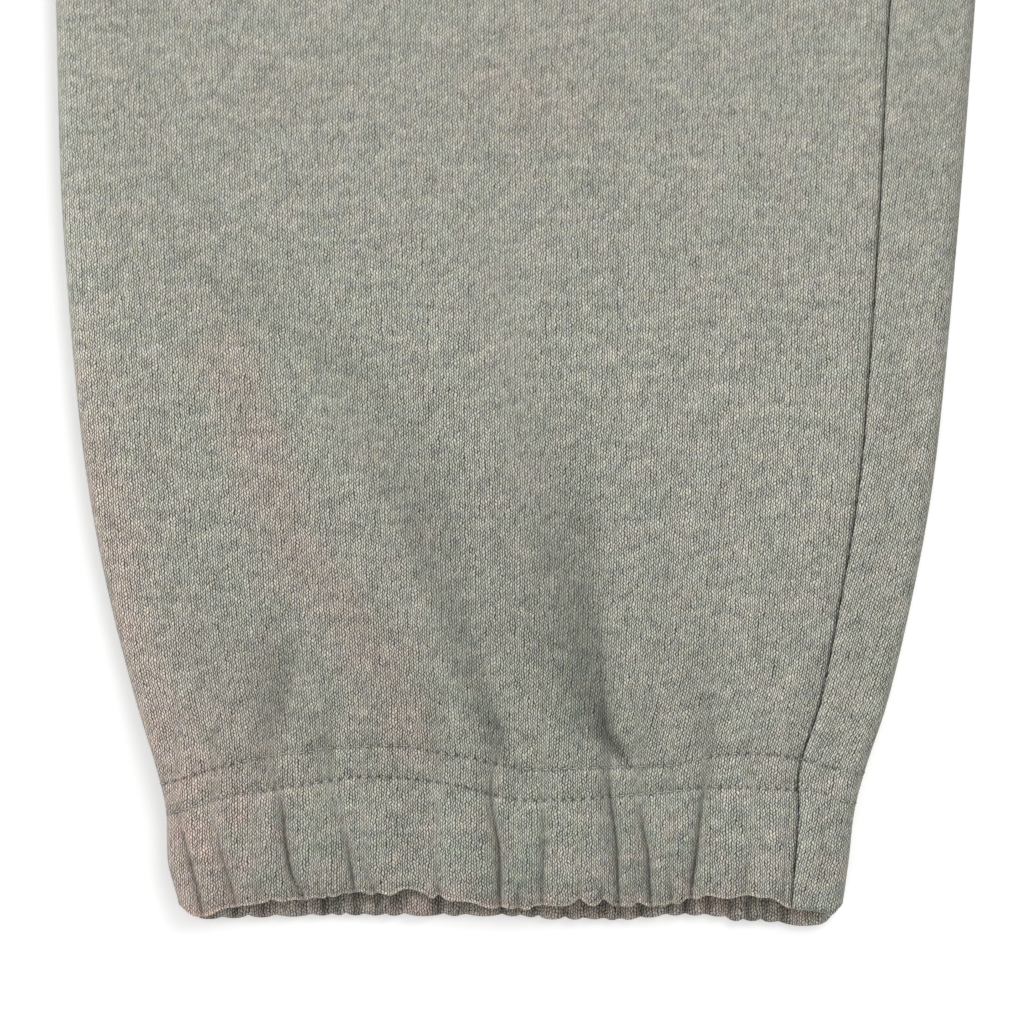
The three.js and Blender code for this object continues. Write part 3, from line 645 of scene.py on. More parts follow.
def beside(start, end, u, v):
    """How far a place has come from start to end, from 0 to 1, and its distance from the line between."""
    run_u, run_v = end[0] - start[0], end[1] - start[1]
    t = np.clip(((u - start[0]) * run_u + (v - start[1]) * run_v) / (run_u**2 + run_v**2), 0, 1)
    return t, np.hypot(u - start[0] - t * run_u, v - start[1] - t * run_v)


def tint_and_painted_light_at(u, v):
    tint_and_painted_light = np.ones(np.shape(u) + (3,))

    def tinted(tone, share):
        return tint_and_painted_light * (1 + share[..., None] * (tone - 1))

    # Listed pink and green patches; the green ones in the hollows are painted greenish shade
    for tone, patches in ((pink, pink_patches), (green, green_patches)):
        for middle_u, middle_v, reach_u, reach_v, share in patches:
            away = ((u - middle_u) / reach_u) ** 2 + ((v - middle_v) / reach_v) ** 2
            tint_and_painted_light = tinted(tone, share * np.exp(-away))
    # Painted pinkish light along the streak of the fold
    from_streak = np.min([beside(*ends, u, v)[1] for ends in zip(pink_light_streak, pink_light_streak[1:])], axis=0)
    tint_and_painted_light = tinted(pink, 0.75 * np.exp(-((from_streak / streak_width) ** 2)))
    # Painted pinkish light along the inner edge
    from_edge = u - along(outline, v, 1)
    return tinted(pink, 0.95 * np.exp(-((from_edge / edge_width) ** 2)) * (1 - smooth(95, 160, v)))


# Painted shade darkens the fleece in its folds, creases and tucks, and above the elastic, where the gathered
# cloth holds shade. Painted light makes it lighter along the inner edge, which faces the light. It is also a
# little lighter towards the outer side and at the inner end of the casing. In slack hollows the nap also lies
# smooth, so the stitches show less.
fold_shade = 0.108
crease_shade = 0.068
crease_shade_spread = 1.8
tuck_shade = 0.16
crowded_shade = 0.14
crowded_top = 150
outer_side_lighter = 0.05
inner_edge_painted_light = 0.1
inner_casing_lighter = 0.035
slack_reach = 6.5
slack_lines = [
    [(-8, 175, 0), (-2, 150, 0.8), (1.2, 123.7, 1), (4.8, 104.7, 0.8), (11.9, 83.3, 1), (17, 66.7, 1),
     (20, 50, 0.5)],
    [(-46, 135, 0.4), (-42, 122, 1), (-29.7, 107, 0.8), (-19, 85.7, 0.6), (-13, 64.3, 0.8), (-9.5, 50, 0.5)],
    [(-56, 72, 0), (-54, 59.6, 0.8), (-53, 46, 0.5), (-53, 38, 0)],
]


def crowding_shade(u, v):
    """How much painted shade darkens the cloth above the elastic, where the gathered cloth holds shade, more
    so towards the inner edge.
    """
    up_the_leg = (1 - smooth(34, crowded_top, v)) * smooth(-20, 45, v)
    return crowded_shade * up_the_leg * (1 - 0.4 * smooth(10, 70, u))


def hollow_shade(leg, u, v):
    from_edge = u - along(outline, v, 1)
    # Painted shade in the folds, creases and tucks
    sunk = np.clip(folds_at(leg["folds"], u, v), 0, 4) * fold_shade
    sunk += creases_at(leg["creases"], u, v, crease_shade_spread) * crease_shade
    sunk += creases_at(leg["tucks"], u, v, crease_shade_spread) * tuck_shade
    lighter = outer_side_lighter * smooth(25, 90, u)
    # Painted light along the inner edge, which faces the light
    lighter += inner_edge_painted_light * np.exp(-((from_edge / edge_width) ** 2))
    lighter += inner_casing_lighter * (1 - smooth(-50, -38, u)) * (1 - smooth(26, 40, v))
    return np.exp(lighter - sunk * smooth(-2, 4, from_edge) - crowding_shade(u, v) * smooth(0, 22, from_edge))


def slack_at(u, v):
    slack = np.zeros(np.shape(u))
    for line in slack_lines:
        for start, end in zip(line, line[1:]):
            t, away = beside(start, end, u, v)
            share = start[2] + (end[2] - start[2]) * t
            slack = np.maximum(slack, share * np.exp(-((away / slack_reach) ** 2)))
    return slack


# The gathered hem stretches its knit open, so the stitches show less and less up the leg
soft_knit = 0.55
soft_from = 85
soft_to = 225
slack_knit = 0.34


def cloth_piece(name, points, knit, tint_and_painted_light, sewn, creased=None, slack=0, mirrored=False):
    """A sheet of fleece: a grid of cloth moved into place, with the knit's lines as its UV map. Its sewn
    values say how far each place is from the two rows of stitches, and how far along them. Its creased
    values say how far the nearest crease is, and how deep."""
    rows, columns = points.shape[:2]
    if creased is None:
        creased = np.broadcast_to(np.array([no_crease_near, 0, 0]), points.shape)
    height = waist_top - (cad_box[1].y - points[..., 1]) / mm
    crisp = (1 - soft_knit * smooth(soft_from, soft_to, height)) * (1 - slack_knit * slack)
    if mirrored:
        points, knit, tint_and_painted_light, sewn = points[:, ::-1], knit[:, ::-1], tint_and_painted_light[:, ::-1], sewn[:, ::-1]
        creased, crisp = creased[:, ::-1], crisp[:, ::-1]
    grid = bmesh.new()
    bmesh.ops.create_grid(grid, x_segments=columns - 1, y_segments=rows - 1, size=1)
    mesh = bpy.data.meshes.new(name)
    grid.to_mesh(mesh)
    grid.free()
    flat = np.empty(len(mesh.vertices) * 3)
    mesh.vertices.foreach_get("co", flat)
    flat = flat.reshape(-1, 3)
    column = np.rint((flat[:, 0] + 1) / 2 * (columns - 1)).astype(int)
    row = np.rint((flat[:, 1] + 1) / 2 * (rows - 1)).astype(int)
    mesh.vertices.foreach_set("co", points[row, column].ravel())
    corners = np.empty(len(mesh.loops), int)
    mesh.loops.foreach_get("vertex_index", corners)
    knit_map = mesh.uv_layers.new(name="knit")
    knit_map.data.foreach_set("uv", knit[row[corners], column[corners]].ravel())
    rows_there = mesh.attributes.new("sewn", "FLOAT_VECTOR", "POINT")
    rows_there.data.foreach_set("vector", sewn[row, column].ravel())
    creases_there = mesh.attributes.new("creased", "FLOAT_VECTOR", "POINT")
    creases_there.data.foreach_set("vector", creased[row, column].ravel())
    # The colour holds the cloth's tint together with its painted light and shade, and its alpha how crisp the
    # knit is
    colour = mesh.attributes.new("tint_and_painted_light", "FLOAT_COLOR", "POINT")
    tinted_and_lit = np.concatenate([tint_and_painted_light[row, column], crisp[row, column][:, None]], 1)
    colour.data.foreach_set("color", tinted_and_lit.ravel())
    mesh.polygons.foreach_set("use_smooth", np.ones(len(mesh.polygons), bool))
    mesh.update()
    piece = bpy.data.objects.new(name, mesh)
    bpy.context.scene.collection.objects.link(piece)
    shell = piece.modifiers.new("fleece", "SOLIDIFY")
    shell.thickness = fleece * mm
    shell.offset = -1
    return piece


def set_in_garment(side, u, v, z):
    return np.stack([side * (leg_axis + u) * mm, garment_y(v), z * mm], -1)


# Knitted fleece is stockinette of heather yarn. Each stitch is a pair of slanted legs, one half a stitch
# above the other, with dark gaps between them. Every leg of yarn has its own grey, and darker and lighter
# lengths of yarn run along the courses. The stitches of the sewn rows lie further apart.
stitch_pitch = 2.3
wale = 1.25
course = 0.9
stitch_slant = 0.6
leg_stagger = 0.5
sway = 1.0
knit_contrast = 1.38
yarn_grey = (0.317, 0.315, 0.272)
row_line_width = 0.46
crease_line_width = 0.34


def fleece_material(name, nap):
    material = bpy.data.materials.new(name)
    material.use_nodes = True
    nodes, links = material.node_tree.nodes, material.node_tree.links
    shader = nodes["Principled BSDF"]

    def feed(socket, value):
        if isinstance(value, bpy.types.NodeSocket):
            links.new(value, socket)
        else:
            socket.default_value = value

    def maths(operation, a, b=0.0, c=0.0):
        node = nodes.new("ShaderNodeMath")
        node.operation = operation
        for socket, value in zip(node.inputs, (a, b, c)):
            feed(socket, value)
        return node.outputs[0]

    def place(x, y, z=0.0):
        node = nodes.new("ShaderNodeCombineXYZ")
        for socket, value in zip(node.inputs, (x, y, z)):
            feed(socket, value)
        return node.outputs[0]

    def mottle(x, y, detail, roughness=0.5):
        node = nodes.new("ShaderNodeTexNoise")
        node.noise_dimensions = "2D"
        feed(node.inputs["Vector"], place(x, y))
        feed(node.inputs["Scale"], 1.0)
        feed(node.inputs["Detail"], detail)
        feed(node.inputs["Roughness"], roughness)
        return node.outputs["Fac"]

    def spread(value, centre, width, low, high):
        """Stretch a noise about its centre, and hold it between two ends."""
        stretched = maths("MULTIPLY_ADD", maths("SUBTRACT", value, centre), width, 1.0)
        return maths("MINIMUM", maths("MAXIMUM", stretched, low), high)

    knit_map = nodes.new("ShaderNodeUVMap")
    knit_map.uv_map = "knit"
    split = nodes.new("ShaderNodeSeparateXYZ")
    links.new(knit_map.outputs["UV"], split.inputs[0])
    across, up = split.outputs["X"], split.outputs["Y"]

    # Yarn never lies quite straight
    lean = maths("SUBTRACT", mottle(maths("MULTIPLY", across, 0.45), maths("MULTIPLY", up, 0.45), 2.0), 0.5)
    lift = mottle(maths("MULTIPLY_ADD", across, 0.5, 40.0), maths("MULTIPLY", up, 0.5), 2.0)
    lift = maths("SUBTRACT", lift, 0.5)
    wales = maths("DIVIDE", maths("MULTIPLY_ADD", lean, sway, across), wale)
    from_middle = maths("ABSOLUTE", maths("MULTIPLY_ADD", maths("FRACT", wales), 2.0, -1.0))
    courses = maths("DIVIDE", maths("MULTIPLY_ADD", lift, sway, up), course)
    courses = maths("SUBTRACT", courses, maths("MULTIPLY", from_middle, stitch_slant))
    second_leg = maths("GREATER_THAN", maths("FRACT", wales), 0.5)
    courses = maths("MULTIPLY_ADD", second_leg, leg_stagger, courses)
    leg_count = maths("MULTIPLY", wales, 2.0)
    leg_profile = maths("POWER", maths("SINE", maths("MULTIPLY", maths("FRACT", leg_count), math.pi)), 0.55)
    stitch_profile = maths("POWER", maths("SINE", maths("MULTIPLY", maths("FRACT", courses), math.pi)), 0.65)
    loops = maths("MULTIPLY", leg_profile, maths("MULTIPLY_ADD", stitch_profile, 0.8, 0.2))
    gap_size = nodes.new("ShaderNodeTexWhiteNoise")
    gap_size.noise_dimensions = "2D"
    beside = maths("FLOOR", maths("ADD", leg_count, 0.5))
    feed(gap_size.inputs["Vector"], place(beside, maths("FLOOR", maths("ADD", courses, 0.5))))
    holes = maths("POWER", maths("SUBTRACT", 1.0, loops), 1.5)
    holes = maths("MULTIPLY", holes, maths("MULTIPLY_ADD", gap_size.outputs["Value"], 0.6, 0.4))
    between_columns = maths("MULTIPLY", maths("POWER", from_middle, 3.0), 0.3)

    yarn_leg = nodes.new("ShaderNodeTexWhiteNoise")
    yarn_leg.noise_dimensions = "2D"
    feed(yarn_leg.inputs["Vector"], place(maths("FLOOR", leg_count), maths("FLOOR", courses)))
    own_grey = maths("MULTIPLY_ADD", maths("POWER", yarn_leg.outputs["Value"], 2.0), -0.27, 1.0)
    rising = maths("MULTIPLY_ADD", across, -0.12, up)
    long_marks = mottle(maths("DIVIDE", across, 7.0), maths("DIVIDE", rising, 2.6), 3.0)
    short_marks = mottle(maths("DIVIDE", across, 2.2), maths("DIVIDE", rising, 0.95), 1.0)
    streaks = spread(long_marks, 0.5, 0.5, 0.66, 1.26)
    flecks = spread(short_marks, 0.5, 0.2, 0.72, 1.25)
    shade = maths("MULTIPLY", maths("MULTIPLY", own_grey, streaks), flecks)

    # Heather yarn mixes fibres of several tints, so it turns rosy or green, and warm or cool, in patches
    rosy = mottle(maths("DIVIDE", across, 10.0), maths("DIVIDE", rising, 7.0), 4.0, 0.62)
    rosy = maths("SUBTRACT", rosy, 0.5)
    at_hem = maths("MINIMUM", maths("MAXIMUM", maths("MULTIPLY_ADD", up, -0.05, 2.0), 0.0), 1.0)
    rosy = maths("MULTIPLY", rosy, maths("MULTIPLY_ADD", at_hem, 0.9, 1.0))
    warm = mottle(maths("DIVIDE", across, 4.0), maths("MULTIPLY_ADD", up, 0.4, 60.0), 3.0)
    warm = maths("SUBTRACT", warm, 0.5)
    tint = place(
        maths("MULTIPLY_ADD", rosy, 0.16, maths("MULTIPLY_ADD", warm, 0.05, 1.0)),
        maths("MULTIPLY_ADD", rosy, -0.06, 1.0),
        maths("MULTIPLY_ADD", warm, -0.2, 1.0),
    )
    shade = maths("MULTIPLY", shade, maths("MULTIPLY_ADD", warm, 0.2, maths("MULTIPLY_ADD", rosy, 0.2, 1.0)))
    # The cloth's tint with its painted light and shade, and in its alpha how strongly the knit shows
    tint_and_painted_light = nodes.new("ShaderNodeAttribute")
    tint_and_painted_light.attribute_name = "tint_and_painted_light"
    relief = maths("SUBTRACT", maths("MULTIPLY_ADD", holes, -1.3, loops), maths("ADD", between_columns, 0.25))
    relief = maths("MULTIPLY_ADD", maths("MULTIPLY", relief, knit_contrast), tint_and_painted_light.outputs["Alpha"], 1.0)
    shade = maths("MAXIMUM", maths("MULTIPLY", shade, relief), 0.06)

    # Painted shade along each row: a dark hole where the needle went in between two stitches, and a faint
    # line where the thread presses a groove
    sewn = nodes.new("ShaderNodeAttribute")
    sewn.attribute_name = "sewn"
    rows = nodes.new("ShaderNodeSeparateXYZ")
    links.new(sewn.outputs["Vector"], rows.inputs[0])
    beat = maths("FRACT", maths("DIVIDE", rows.outputs["Z"], stitch_pitch))
    beat = maths("SINE", maths("MULTIPLY", beat, math.pi))
    hole_shade_there = maths("MULTIPLY_ADD", maths("POWER", beat, 3.0), 0.5, 0.17)

    def line_near(distance, width):
        """A soft line: 1 where a distance is nothing, and falling away over a width."""
        share = maths("DIVIDE", distance, width)
        return maths("EXPONENT", maths("MULTIPLY", maths("MULTIPLY", share, share), -1.0))

    for output in ("X", "Y"):
        pressed_shade = maths("MULTIPLY", line_near(rows.outputs[output], row_line_width), hole_shade_there)
        shade = maths("MULTIPLY", shade, maths("SUBTRACT", 1.0, pressed_shade))

    # Painted shade: the bottom of a crease is drawn as a thin dark line
    creased = nodes.new("ShaderNodeAttribute")
    creased.attribute_name = "creased"
    nearest = nodes.new("ShaderNodeSeparateXYZ")
    links.new(creased.outputs["Vector"], nearest.inputs[0])
    crease_line_shade = maths("MINIMUM", maths("MULTIPLY", nearest.outputs["Y"], 0.2), 0.6)
    crease_line_shade = maths("MULTIPLY", crease_line_shade, line_near(nearest.outputs["X"], crease_line_width))
    shade = maths("MULTIPLY", shade, maths("SUBTRACT", 1.0, crease_line_shade))

    scaled = nodes.new("ShaderNodeVectorMath")
    scaled.operation = "SCALE"
    scaled.inputs[0].default_value = yarn_grey
    links.new(shade, scaled.inputs["Scale"])
    tinted = nodes.new("ShaderNodeVectorMath")
    tinted.operation = "MULTIPLY"
    links.new(scaled.outputs[0], tinted.inputs[0])
    links.new(tint, tinted.inputs[1])
    tinted_and_lit = nodes.new("ShaderNodeVectorMath")
    tinted_and_lit.operation = "MULTIPLY"
    links.new(tinted.outputs[0], tinted_and_lit.inputs[0])
    links.new(tint_and_painted_light.outputs["Color"], tinted_and_lit.inputs[1])
    links.new(tinted_and_lit.outputs[0], shader.inputs["Base Color"])

    bump = nodes.new("ShaderNodeBump")
    bump.inputs["Strength"].default_value = 0.6
    bump.inputs["Distance"].default_value = nap * mm
    links.new(maths("ADD", loops, maths("MULTIPLY", flecks, 0.4)), bump.inputs["Height"])
    links.new(bump.outputs[0], shader.inputs["Normal"])
    shader.inputs["Roughness"].default_value = 0.95
    shader.inputs["Specular IOR Level"].default_value = 0.12
    shader.inputs["Sheen Weight"].default_value = 0.12
    shader.inputs["Sheen Roughness"].default_value = 0.6
    return material


heather_fleece = fleece_material("heather_fleece", 0.25)


def columns_between(stretches):
    """Places around the tube, from stretches of (start, end, count)."""
    parts = [np.linspace(start, end, count + 1)[:-1] for start, end, count in stretches]
    return np.append(np.concatenate(parts), stretches[-1][1])


# Columns crowd together at a crease, and follow the deep ones that are clear of the inner fold
crowding_columns = 2.2
crowding_width = 1.7
fold_columns = 5
followed_depth = 1.3
clear_of_fold = 6
followed_from = 5


def front_columns(leg, count):
    """Columns over the front, close together at each crease, and following it up the casing."""
    edges = leg_edges(np.array(mid_casing))
    inner, seam = float(edges["inner"]), float(edges["seam"])
    places = np.linspace(inner, seam, 1200)
    density = np.ones(places.shape)
    for path in leg["creases"]:
        middle = along(path, np.array(mid_casing), 1)
        density += crowding_columns * np.exp(-(((places - middle) / crowding_width) ** 2))
    total = np.cumsum(density)
    total = (total - total[0]) / (total[-1] - total[0])
    spaced = np.interp(np.linspace(0, 1, count + 1), total, places)
    plain = (spaced - inner) / (seam - inner)
    fold = -np.linspace(1, 0, fold_columns + 1)[:-1]
    clear = [path for path in leg["creases"] if path[0][1] > inner + clear_of_fold]
    anchors = sorted((path for path in clear if path[1][2] > followed_depth), key=lambda path: path[0][1])
    middles = np.array([along(path, np.array(mid_casing), 1) for path in anchors])
    reference = np.concatenate([[0], (middles - inner) / (seam - inner), [1]])

    def at(share, relaxed):
        height = followed_from + (hem_row - followed_from) * share
        here = leg_edges(np.array(height))
        places = np.array([along(path, np.array(height), 1) for path in anchors])
        moved = np.concatenate([[0], (places - here["inner"]) / (here["seam"] - here["inner"]), [1]])
        followed = np.interp(plain, reference, moved)
        return np.concatenate([fold, followed + (plain - followed) * relaxed])

    return {"plain": np.concatenate([fold, plain]), "at": at}


fine_bands = {
    "turned": 3,
    "casing": 38,
    "panel": [(60, 1.2), (120, 1.8), (240, 3), (700, 11), (800, 8), (985, 6)],
}
coarse_bands = {
    "turned": 3,
    "casing": 24,
    "panel": [(60, 1.8), (120, 3), (240, 6), (700, 12), (800, 8), (985, 6)],
}
# A painted highlight gives the fold at the hem a thin pale edge, and painted pinkish light makes it rosy just
# above it.
# A tuck's painted shade line is drawn only faintly.
lip_highlight = np.array([1.75, 1.72, 1.66])
lip_highlight_rows = slice(-4, -1)
pink_light_share = 0.45
pink_light_reach = 1.8
tuck_shade_line = 0.3
for leg in legs:
    bands = fine_bands if leg["fine"] else coarse_bands
    columns = front_columns(leg, 190 if leg["fine"] else 110)
    u, v, z, knit, sewn, folded = leg_cloth(leg, columns, bands)
    # The front's tint, with painted pinkish light and painted greenish shade
    tint_and_painted_light = tint_and_painted_light_at(u, v) if leg["fine"] else np.ones(u.shape + (3,))
    # Painted shade in the hollows and above the elastic, and painted light along the inner edge
    tint_and_painted_light *= hollow_shade(leg, u, v)[..., None]
    above_fold = np.maximum(v - v[folded], 0)
    # Painted pinkish light just above the fold of the hem
    tint_and_painted_light *= 1 + (pink_light_share * np.exp(-above_fold / pink_light_reach))[..., None] * (pink - 1)
    # Painted highlight on the fold's lower edge
    tint_and_painted_light[:folded][lip_highlight_rows] *= lip_highlight
    # Tucks get a fainter painted shade line than creases
    softer = [
        [(height, place, tuck_shade_line * depth, width) for height, place, depth, width in path]
        for path in leg["tucks"]
    ]
    creased = np.stack([*nearest_crease(leg["creases"] + softer, u, v), np.zeros(u.shape)], -1)
    slack = slack_at(u, v) if leg["fine"] else 0
    front = cloth_piece(
        f"front_{leg['name']}", set_in_garment(leg["side"], u, v, z), knit, tint_and_painted_light, sewn, creased, slack,
        mirrored=leg["side"] < 0,
    )
    front.data.materials.append(heather_fleece)
    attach(front, "root")
    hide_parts(f"front_panel_{leg['name']}", f"hem_casing_front_{leg['name']}")

# Back of each leg
# The same fleece, from the side seam on top, round the outer edge, along the table, and up to the inseam. Its
# turned-up hem reaches a little lower than the front's, so its gathered inner face shows as a darker rim:
# partly in the front's shadow, and partly painted, with painted pinkish shade and painted shade in dark
# pockets at its gathers.
# Painted tone of the rim: how bright it is, its painted pinkish shade, and the painted shade of its pockets
rim_shade = 1.1
rim_pink_shade = 0.8
pocket_shade = 0.78
crowding_shade_share = 0.4
# The strip starts just past the seam's line, so that all of it has the back's knit
past_seam_line = 1.0001
strip_columns = 14
outer_fold_columns = 9
rim = slice(strip_columns + outer_fold_columns + 1, None)
for leg in legs:
    under = 140 if leg["fine"] else 80
    plain = columns_between(
        [(past_seam_line, 2, strip_columns), (2, 3, outer_fold_columns), (3, 4, under), (4, 5, 5)]
    )
    columns = {"plain": plain, "at": lambda share, relaxed, plain=plain: plain}
    bands = {
        "turned": 12 if leg["fine"] else 6,
        "casing": 22,
        "panel": [(60, 1.6), (120, 2), (240, 3.4), (700, 12), (800, 8), (985, 6)],
    }
    u, v, z, knit, sewn, folded = leg_cloth(leg, columns, bands)
    # Painted shade above the elastic, fainter than on the front
    tint_and_painted_light = np.repeat(np.exp(-crowding_shade_share * crowding_shade(u, v))[..., None], 3, -1)
    # Painted pinkish shade on the rim
    tint_and_painted_light[:folded, rim] *= rim_shade * (1 + rim_pink_shade * (pink - 1))
    # Painted shade in the rim's pockets at its gathers
    tint_and_painted_light[:folded, rim] *= (1 - pocket_shade * np.clip(rim_pocket_shade(u[:folded, rim]), 0, 1))[..., None]
    back = cloth_piece(
        f"back_{leg['name']}", set_in_garment(leg["side"], u, v, z), knit, tint_and_painted_light, sewn, mirrored=leg["side"] < 0
    )
    back.data.materials.append(heather_fleece)
    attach(back, "root")
    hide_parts(f"back_panel_{leg['name']}", f"hem_casing_back_{leg['name']}")

# Hem stitching
# Two rows of lockstitch in matching thread go round each hem and close the casing over its elastic. Each
# stitch sinks into the cloth, so it is a short dash of thread with a gap beside it.
stitch_length = 1.75
thread_radius = 0.2
above_cloth = 0.02
sunk_below = 0.25


def thread_material():
    material = bpy.data.materials.new("grey_thread")
    material.use_nodes = True
    nodes, links = material.node_tree.nodes, material.node_tree.links
    shader = nodes["Principled BSDF"]
    coordinates = nodes.new("ShaderNodeTexCoord")
    twist = nodes.new("ShaderNodeTexWave")
    twist.bands_direction = "DIAGONAL"
    twist.inputs["Scale"].default_value = 900
    links.new(coordinates.outputs["Object"], twist.inputs["Vector"])
    plies = nodes.new("ShaderNodeMix")
    plies.data_type = "RGBA"
    plies.inputs[6].default_value = (0.28, 0.28, 0.245, 1)
    plies.inputs[7].default_value = (0.42, 0.42, 0.375, 1)
    links.new(twist.outputs["Fac"], plies.inputs[0])
    links.new(plies.outputs[2], shader.inputs["Base Color"])
    shader.inputs["Roughness"].default_value = 0.7
    shader.inputs["Specular IOR Level"].default_value = 0.3
    return material


grey_thread = thread_material()


def thread_piece(name, places, ahead):
    """A stitch at each place, lying in the direction of the row there."""
    thread = bmesh.new()
    for place, way in zip(places, ahead):
        turned = way.to_track_quat("X", "Z").to_matrix().to_4x4()
        sized = Matrix.Diagonal((stitch_length / 2 * mm, thread_radius * mm, thread_radius * mm, 1))
        bmesh.ops.create_icosphere(
            thread, subdivisions=1, radius=1, matrix=Matrix.Translation(place) @ turned @ sized
        )
    mesh = bpy.data.meshes.new(name)
    thread.to_mesh(mesh)
    thread.free()
    mesh.polygons.foreach_set("use_smooth", np.ones(len(mesh.polygons), bool))
    piece = bpy.data.objects.new(name, mesh)
    bpy.context.scene.collection.objects.link(piece)
    mesh.materials.append(grey_thread)
    return piece


def row_of_stitches(line):
    """Places and directions of stitches along a line of points."""
    steps = np.linalg.norm(np.diff(line, axis=0), axis=1)
    length = np.append(0, np.cumsum(steps))
    count = int(length[-1] / (stitch_pitch * mm))
    at = np.linspace(0, length[-1], count + 1)[:-1]

    def point(distance):
        return np.stack([np.interp(distance, length, line[:, k]) for k in range(3)], -1)

    reach = stitch_length / 2 * mm
    ahead = point(at + reach) - point(np.maximum(at - reach, 0))
    return [Vector(p) for p in point(at)], [Vector(a) for a in ahead]


for leg in legs:
    places, ahead = [], []
    for row in (lower_row, upper_row):
        around = columns_between([(-1, 0, 6), (0, 1, 300), (1, 2, 30), (2, 3, 16), (3, 4, 200), (4, 5, 6)])
        v = np.full(around.shape, hem_row)
        for _ in range(2):
            u = leg_surface(leg, around, v)[0]
            v = stitch_row(around, u, row)
        u, z, normal, _ = leg_surface(leg, around, v)
        lift = above_cloth - (above_cloth + sunk_below) * smooth(0, 1, -normal[:, 1])
        line = set_in_garment(leg["side"], u + lift * normal[:, 0], v, z + lift * normal[:, 1])
        row_places, row_ahead = row_of_stitches(line)
        places += row_places
        ahead += row_ahead
    stitches = thread_piece(f"hem_stitches_{leg['name']}", places, ahead)
    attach(stitches, "root")

# Waistband
# A band of the same fleece folded over a wide elastic and joined in a tube, with its seam at the back. It is
# gathered all round, and two rows of stitches like the hems' hold the cloth of the legs to it.
waist_half_width = 205
waist_puff = 1.7
waist_dip = 0.3
waist_gather_depth = 1.7
waist_gather_reach = 2.6
under_share = 0.45
back_seam_gap = 0.15
waist_seam_depth = 0.8
waist_seam_reach = 1.2
waist_gathers = [(i - 11) * 17 + 2.4 * math.sin(2.4 * i) for i in range(23)]
waist_rows = (waist_seam + 3, waist_seam + 10.6)


def waist_surface(around, v):
    """Outer face of the band: -1 to 0 over the left of the back, to 1 round the left edge, to 2 over the
    front, to 3 round the right edge, and to 4 over the right of the back to its seam."""
    reach = waist_half_width - hem_roll
    turn_left = math.pi * (np.clip(around, 0, 1) - 0.5)
    turn_right = math.pi * (np.clip(around - 2, 0, 1) + 0.5)
    stretches = [around < 0, around <= 1, around <= 2, around <= 3]
    x = np.select(
        stretches,
        [
            reach * (1 + around) + back_seam_gap * -around,
            reach + hem_roll * np.cos(turn_left),
            reach * (3 - 2 * around),
            -reach + hem_roll * np.cos(turn_right),
        ],
        -reach * (4 - around) - back_seam_gap * (around - 3),
    )
    normal_z = np.select(stretches, [-1, np.sin(turn_left), 1, np.sin(turn_right)], -1)
    share = (v - waist_seam) / (waist_top - waist_seam)
    gathers = 0
    for i, place in enumerate(waist_gathers):
        away = np.abs(x - place - 1.5 * np.sin(3 * share + i))
        depth = waist_gather_depth + 0.5 * math.sin(1.7 * i + 1)
        gathers = gathers + depth * np.exp(-away / waist_gather_reach)
    rows = sum(row_groove * np.exp(-((v - row) ** 2)) for row in waist_rows)
    puff = waist_puff * np.sin(math.pi * np.clip(share, 0, 1)) ** 0.75 - waist_dip
    seam = waist_seam_depth * np.exp(-np.maximum(v - waist_seam, 0) / waist_seam_reach)
    inside = smooth(0, 8, reach - np.abs(x))
    over = puff - gathers * inside - rows - seam
    under = -(under_share * gathers * inside + rows + seam)
    relief = np.where(normal_z > 0, over, under) * np.abs(normal_z)
    return x, hem_roll + (hem_roll + relief) * normal_z, normal_z


knit_start = 700
knit_gathered = 1.1
around = columns_between([(-1, 0, 70), (0, 1, 10), (1, 2, 230), (2, 3, 10), (3, 4, 70)])
sewn_part = np.linspace(waist_seam + 0.1, waist_seam + 13, 13)
heights = np.append(sewn_part, np.linspace(waist_seam + 15, waist_top - fold_radius, 14))
rows_x, rows_z, rows_v, rows_knit = [], [], [], []
run = np.append(0, np.cumsum(np.abs(np.diff(waist_surface(around, np.full(around.shape, 1000.0))[0]))))
for height in heights:
    x, z, normal_z = waist_surface(around, np.full(around.shape, height))
    rows_x.append(x)
    rows_z.append(z)
    rows_v.append(np.full(x.shape, height))
    rows_knit.append(np.full(x.shape, height))
inward = hem_roll - rows_z[-1]
towards = np.sign(inward) * np.abs(normal_z)
for angle in np.radians(np.linspace(90, -90, fold_steps + 1))[1:]:
    off = fold_radius * (1 - math.sin(angle))
    rows_x.append(rows_x[len(heights) - 1] * (1 - off / waist_half_width * (1 - np.abs(normal_z))))
    rows_z.append(rows_z[len(heights) - 1] + off * towards)
    rows_v.append(np.full(x.shape, waist_top - fold_radius + fold_radius * math.cos(angle)))
    rows_knit.append(np.full(x.shape, waist_top - fold_radius + fold_radius * (math.pi / 2 - angle)))
for down in (4, 8, 13):
    rows_x.append(rows_x[-1])
    rows_z.append(rows_z[-1])
    rows_v.append(np.full(x.shape, waist_top - fold_radius - down))
    rows_knit.append(np.full(x.shape, waist_top + 4 + down))
points = np.stack([np.array(rows_x) * mm, garment_y(np.array(rows_v)), np.array(rows_z) * mm], -1)
knit = np.stack([np.repeat([run * knit_gathered + knit_start], len(rows_x), 0), np.array(rows_knit)], -1)
outer_face = np.arange(len(rows_v))[:, None] < len(heights)
apart = [np.where(outer_face, np.array(rows_v) - row, no_row_near) for row in waist_rows]
sewn = np.stack(apart + [np.array(rows_x)], -1)
waistband = cloth_piece("waistband", points, knit, np.ones(points.shape), sewn, mirrored=True)
waistband.data.materials.append(heather_fleece)
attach(waistband, "root")
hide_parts("waistband_front", "waistband_back")

